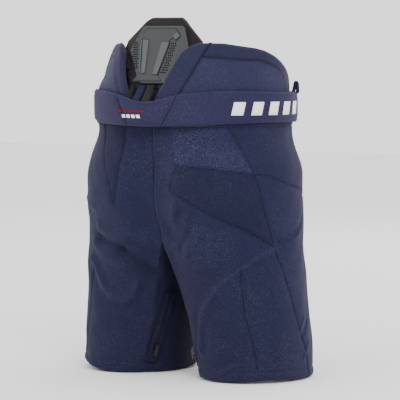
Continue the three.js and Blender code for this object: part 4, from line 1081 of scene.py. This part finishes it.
def make_straps():
    route = [(147.2, 446), (147.2, 464), (144, 471), (134, 483), (126.8, 492), (125, 497)]
    slack = [(147.2, 446), (147.2, 462), (146, 470), (139, 474), (137, 481), (129, 486), (126, 497)]
    made = [ribbon("strap_left", route, 24, 22, 15, 2.3, NAVY_TAPE),
            ribbon("strap_middle", route, 1, 4, 17, 2.3, WEBBING),
            ribbon("strap_right", slack, -25, -22, 17, 2.3, NAVY_TAPE)]
    for strap, label in zip(made, ("left", "middle", "right")):
        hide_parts(f"guard_strap_{label}")
    made.append(ribbon("strap_keeper_tail", route, 39, 42, 7, 2.0, WEBBING))
    for strap in made:
        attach(strap, "hips")


# Small cloth pieces taken from the frame's own shapes

def softened(name, source, body, material, bevel):
    """A copy of a frame piece with rounded edges, in cloth."""
    obj = nodes[source].copy()
    obj.data = obj.data.copy()
    obj.name = name
    obj.parent = None
    obj.data.materials.clear()
    for key in list(obj.keys()):
        del obj[key]
    bpy.context.scene.collection.objects.link(obj)
    made = bmesh.new()
    made.from_mesh(obj.data)
    bmesh.ops.remove_doubles(made, verts=made.verts, dist=1e-5)
    bmesh.ops.dissolve_limit(made, angle_limit=math.radians(2), verts=made.verts, edges=made.edges)
    bmesh.ops.recalc_face_normals(made, faces=made.faces)
    for face in made.faces:
        face.smooth = True
    made.loops.layers.uv.new("cloth")
    made.to_mesh(obj.data)
    made.free()
    apply(obj, "BEVEL", width=bevel * MM, segments=3, limit_method="ANGLE", angle_limit=math.radians(35))
    mesh = obj.data
    shade = mesh.attributes.new("tone", "FLOAT", "POINT")
    shade.data.foreach_set("value", np.ones(len(mesh.vertices), np.float32))
    uv = mesh.uv_layers["cloth"]
    for face in mesh.polygons:
        axis = max(range(3), key=lambda i: abs(face.normal[i]))
        keep = [i for i in range(3) if i != axis]
        for corner in face.loop_indices:
            co = mesh.vertices[mesh.loops[corner].vertex_index].co
            uv.data[corner].uv = (co[keep[0]], co[keep[1]])
    mesh.materials.append(material)
    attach(obj, body)
    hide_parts(source)
    return obj


def make_small_cloth():
    softened("gusset", "crotch_gusset", "hips", LINING, 0.8)
    for label, _ in SIDES:
        softened(f"waist_facing_{label}", f"waistband_{label}", "hips", NAVY_TAPE, 0.7)
        softened(f"loop_{label}", f"belt_loop_{label}", "hips", NAVY_TAPE, 2.2)
        softened(f"zip_tape_{label}", f"zipper_tape_{label}", f"leg_{label}", PANTS_TAPE, 0.7)
    softened("tongue", "fly_tongue", "hips", NAVY_TAPE, 1.2)
    softened("tail_pad_cover", "tailbone_cap", "hips", PAD_CLOTH, 1.2)
    foam = softened("tail_pad_filling", "tailbone_foam", "hips", PAD_CLOTH, 3.0)


def tube(name, path, radius, material, sides=8):
    """A closed loop of round lace along points in millimetres."""
    path = np.asarray(path)
    ahead = np.roll(path, -1, 0) - np.roll(path, 1, 0)
    ahead /= np.linalg.norm(ahead, axis=1, keepdims=True)
    out = np.array([0, -1.0, 0]) - ahead * (ahead @ np.array([0, -1.0, 0]))[:, None]
    out /= np.linalg.norm(out, axis=1, keepdims=True)
    side = np.cross(ahead, out)
    angle = np.linspace(0, 2 * math.pi, sides, endpoint=False)
    ring = path[:, None] + radius * (np.cos(angle)[None, :, None] * side[:, None] * 1.25
                                     + np.sin(angle)[None, :, None] * out[:, None] * 0.8)
    count = len(path)
    faces = [(i * sides + k, i * sides + (k + 1) % sides, (i + 1) % count * sides + (k + 1) % sides,
              (i + 1) % count * sides + k) for i in range(count) for k in range(sides)]
    uv = np.stack([np.tile(angle / 400, count), np.repeat(lengths(path) * MM, sides)], -1)
    return piece(name, ring.reshape(-1, 3), faces, material, uv)


def make_lace():
    """The lace crosses once between the two pairs of eyelets and goes back in behind each ring."""
    spots = {}
    for row in (1, 2):
        for label, side in SIDES:
            low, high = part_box(f"eyelet_{row}_{label}")
            spots[row, side] = np.array((low + high) / 2) / MM
    stops = [(spots[1, 1], 0), (spots[1, -1], 1.2), (spots[2, 1], 0), (spots[2, -1], 3.6)]
    path = []
    for (start, lift), (end, _) in zip(stops, stops[1:] + stops[:1]):
        t = np.linspace(0, 1, 26)[:-1]
        line = mix(start[None], end[None], t[:, None])
        line[:, 1] -= (3.2 + lift) * np.sin(math.pi * t) ** 0.5 + 0.4
        path.append(line)
    lace = tube("lace", np.concatenate(path), 1.7, LACE_CLOTH)
    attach(lace, "hips")
    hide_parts("fly_lace")


def make_front_facing():
    """Padded facing that joins the top of the pants to the belt in front of each wing."""
    high = np.linspace(0, 1, 22)[:, None]
    deg = mix(131, 179.7, np.linspace(0, 1, 60))[None] + 0 * high
    foot = sunk(outer(deg, 430 + 0 * deg), 0, FRAME_Y, -1.0)
    top = belt_face(deg, 476.0 + 0 * deg, -4.0)
    points = mix(foot, top, smooth(high, 0, 0.55)[..., None])
    points[..., 2] = mix(430, 477, high)
    for label, side in SIDES:
        gap = edge_distance(points)
        half = 2.6 * rim(gap, 4)
        facing = stuffed(f"front_facing_{label}", points, half + 0.8 * smooth(gap, 2, 12), half, SHELL,
                         0.9 - 0.2 * bell(gap - 4, 1.5), side)
        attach(facing, "hips")


def make_seat_tape():
    """Tape that joins the top of the pants to the belt below the wings."""
    high = np.linspace(0, 1, 7)[:, None]
    deg = mix(0.2, 134, np.linspace(0, 1, 140))[None] + 0 * high
    foot = sunk(outer(deg, 429 + 0 * deg), 0, FRAME_Y, -0.5)
    top = belt_face(deg, 437.2 + 0 * deg, -2.5)
    points = mix(foot, top, high[..., None])
    half = 0.9 * rim(edge_distance(points), 1.2)
    for label, side in SIDES:
        tape = stuffed(f"belt_seat_tape_{label}", points, half, half, NAVY_TAPE, None, side)
        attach(tape, "hips")


def make_stitches():
    """Thread beads along the seams, laid on the finished halves."""
    for label, side in SIDES:
        half = bpy.data.objects[f"pants_half_{label}"].data
        count = len(half.vertices)
        co, normal = np.empty(count * 3), np.empty(count * 3)
        half.vertices.foreach_get("co", co)
        half.vertices.foreach_get("normal", normal)
        co, normal = co.reshape(-1, 3)[:count // 2] / MM, normal.reshape(-1, 3)[:count // 2]
        points, faces = [], []
        marks = HALF[side]
        hem = [(d, HEM_STITCH) for d in range(6, 176, 2)]
        for line, shift in ([(l, 3.2) for l in marks["seams"]] + [(marks["panel"] + marks["panel"][:1], 2.6)]
                            + [(marks["ridge"], 0.0), (hem, 0.0)]):
            path = traced(line, outer, 0.8)
            long = lengths(path)
            at = np.arange(3, long[-1] - 3, 4.6)
            middle = np.stack([np.interp(at, long, path[:, i]) for i in range(3)], -1)
            ahead = np.stack([np.interp(at + 1, long, path[:, i]) for i in range(3)], -1) - middle
            middle[:, 0] *= side
            ahead[:, 0] *= side
            for spot, way in zip(middle, ahead):
                near = np.argsort(((co - spot) ** 2).sum(1))[:4]
                up = normal[near].mean(0)
                up /= np.linalg.norm(up)
                way = way - up * (way @ up)
                way /= np.linalg.norm(way)
                across = np.cross(up, way)
                spot = spot + across * shift
                near = np.argsort(((co - spot) ** 2).sum(1))[:3]
                spot = spot + up * (((co[near] - spot) @ up).mean() + 0.1)
                start = len(points)
                for along, wide, rise in ((-1.5, 0, 0), (1.5, 0, 0), (0, 0.55, 0), (0, -0.55, 0), (0, 0, 0.5),
                                          (0, 0, -0.5)):
                    points.append(spot + way * along + across * wide + up * rise)
                for a, b in ((2, 4), (4, 3), (3, 5), (5, 2)):
                    faces += [(start, start + a, start + b), (start + 1, start + b, start + a)]
        thread = piece(f"stitches_{label}", points, faces, THREAD)
        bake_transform(thread)


def zip_axes(label):
    """Foot, length, up, across and outward directions of a zipper tape."""
    co = np.array([v.co for v in nodes[f"zipper_tape_{label}"].data.vertices]) / MM
    middle = co.mean(0)
    _, _, ways = np.linalg.svd(co - middle, full_matrices=False)
    up, across, out = ways
    up = up * np.sign(up[2])
    slider = np.array([v.co for v in nodes[f"zipper_slider_{label}"].data.vertices]).mean(0) / MM
    out = out * np.sign((slider - middle) @ out - 1e-9)
    long = (co - middle) @ up
    face = ((co - middle) @ out).max()
    return middle + up * long.min(), long.max() - long.min(), up, across, out, face


def make_zip_teeth():
    for label, _ in SIDES:
        foot, length, up, across, out, face = zip_axes(label)
        points, faces = [], []
        for i in range(int(length / 2.6) - 1):
            side = 1 if i % 2 else -1
            base = foot + up * (3 + i * 2.6) + across * side * 0.9 + out * (face + 0.05)
            start = len(points)
            for lift, spread in ((0, 1.0), (0.9, 0.7)):
                for a, b in ((-1, -1), (1, -1), (1, 1), (-1, 1)):
                    points.append(base + across * a * 1.5 * spread + up * b * 0.85 * spread + out * lift)
            faces += [(start + 3, start + 2, start + 1, start), (start + 4, start + 5, start + 6, start + 7)]
            faces += [(start + k, start + (k + 1) % 4, start + 4 + (k + 1) % 4, start + 4 + k)
                      for k in range(4)]
        teeth = piece(f"zip_teeth_{label}", points, faces, METAL)
        teeth.data.polygons.foreach_set("use_smooth", np.zeros(len(teeth.data.polygons), bool))
        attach(teeth, f"leg_{label}")


def finish_frame_parts():
    finishes = {"suspender_button": BUTTON_PLASTIC, "eyelet": METAL, "zipper_slider": METAL,
                "zipper_pull": METAL}
    for name, obj in nodes.items():
        for start, material in finishes.items():
            if name.startswith(start):
                for place in obj.material_slots:
                    place.material = material


# Floor, light and camera

def make_set():
    bpy.ops.mesh.primitive_plane_add(size=14, location=(0, 0, -0.0005))
    floor = bpy.context.object
    floor.name = "floor"
    paint, _, shader = finish_shader("Pale floor")
    shader.inputs["Base Color"].default_value = (0.9, 0.9, 0.9, 1)
    shader.inputs["Roughness"].default_value = 0.9
    floor.data.materials.append(paint)
    floor.select_set(False)
    world = bpy.data.worlds.new("Studio")
    bpy.context.scene.world = world
    world.use_nodes = True
    world.node_tree.nodes["Background"].inputs[0].default_value = (1, 1, 1, 1)
    world.node_tree.nodes["Background"].inputs[1].default_value = 1.7


def lamp(name, at, aim, size, energy):
    light = bpy.data.lights.new(name, "AREA")
    light.shape = "DISK"
    light.size = size
    light.energy = energy
    obj = bpy.data.objects.new(name, light)
    bpy.context.scene.collection.objects.link(obj)
    obj.location = at
    obj.rotation_euler = (Vector(aim) - Vector(at)).to_track_quat("-Z", "Y").to_euler()


AZIMUTH, ELEVATION, FAR = math.radians(214.18), math.radians(3.75), 4.087


def make_camera():
    camera = bpy.data.cameras.new("View")
    camera.sensor_width = 36
    camera.lens = 213.08
    camera.shift_x, camera.shift_y = 0.0151, -0.0129
    camera.clip_end = 50
    obj = bpy.data.objects.new("View", camera)
    bpy.context.scene.collection.objects.link(obj)
    target = Vector((0, 0, 0.306))
    way = Vector((math.sin(AZIMUTH) * math.cos(ELEVATION), -math.cos(AZIMUTH) * math.cos(ELEVATION),
                  math.sin(ELEVATION)))
    obj.location = target + way * FAR
    obj.rotation_euler = (-way).to_track_quat("-Z", "Y").to_euler()
    bpy.context.scene.camera = obj


make_set()
make_camera()
lamp("Key", (-2.6, 2.0, 2.6), (0, 0, 0.3), 1.6, 70)
lamp("Fill", (1.2, 3.2, 1.4), (0, 0, 0.3), 2.0, 16)
lamp("Front fill", (0.5, -3.0, 1.8), (0, 0, 0.3), 2.0, 24)
make_halves()
make_wings()
make_belt()
make_side_tabs()
make_marks()
make_guard_foam()
make_guard_plate()
make_straps()
make_small_cloth()
make_lace()
make_front_facing()
make_seat_tape()
make_stitches()
make_zip_teeth()
finish_frame_parts()
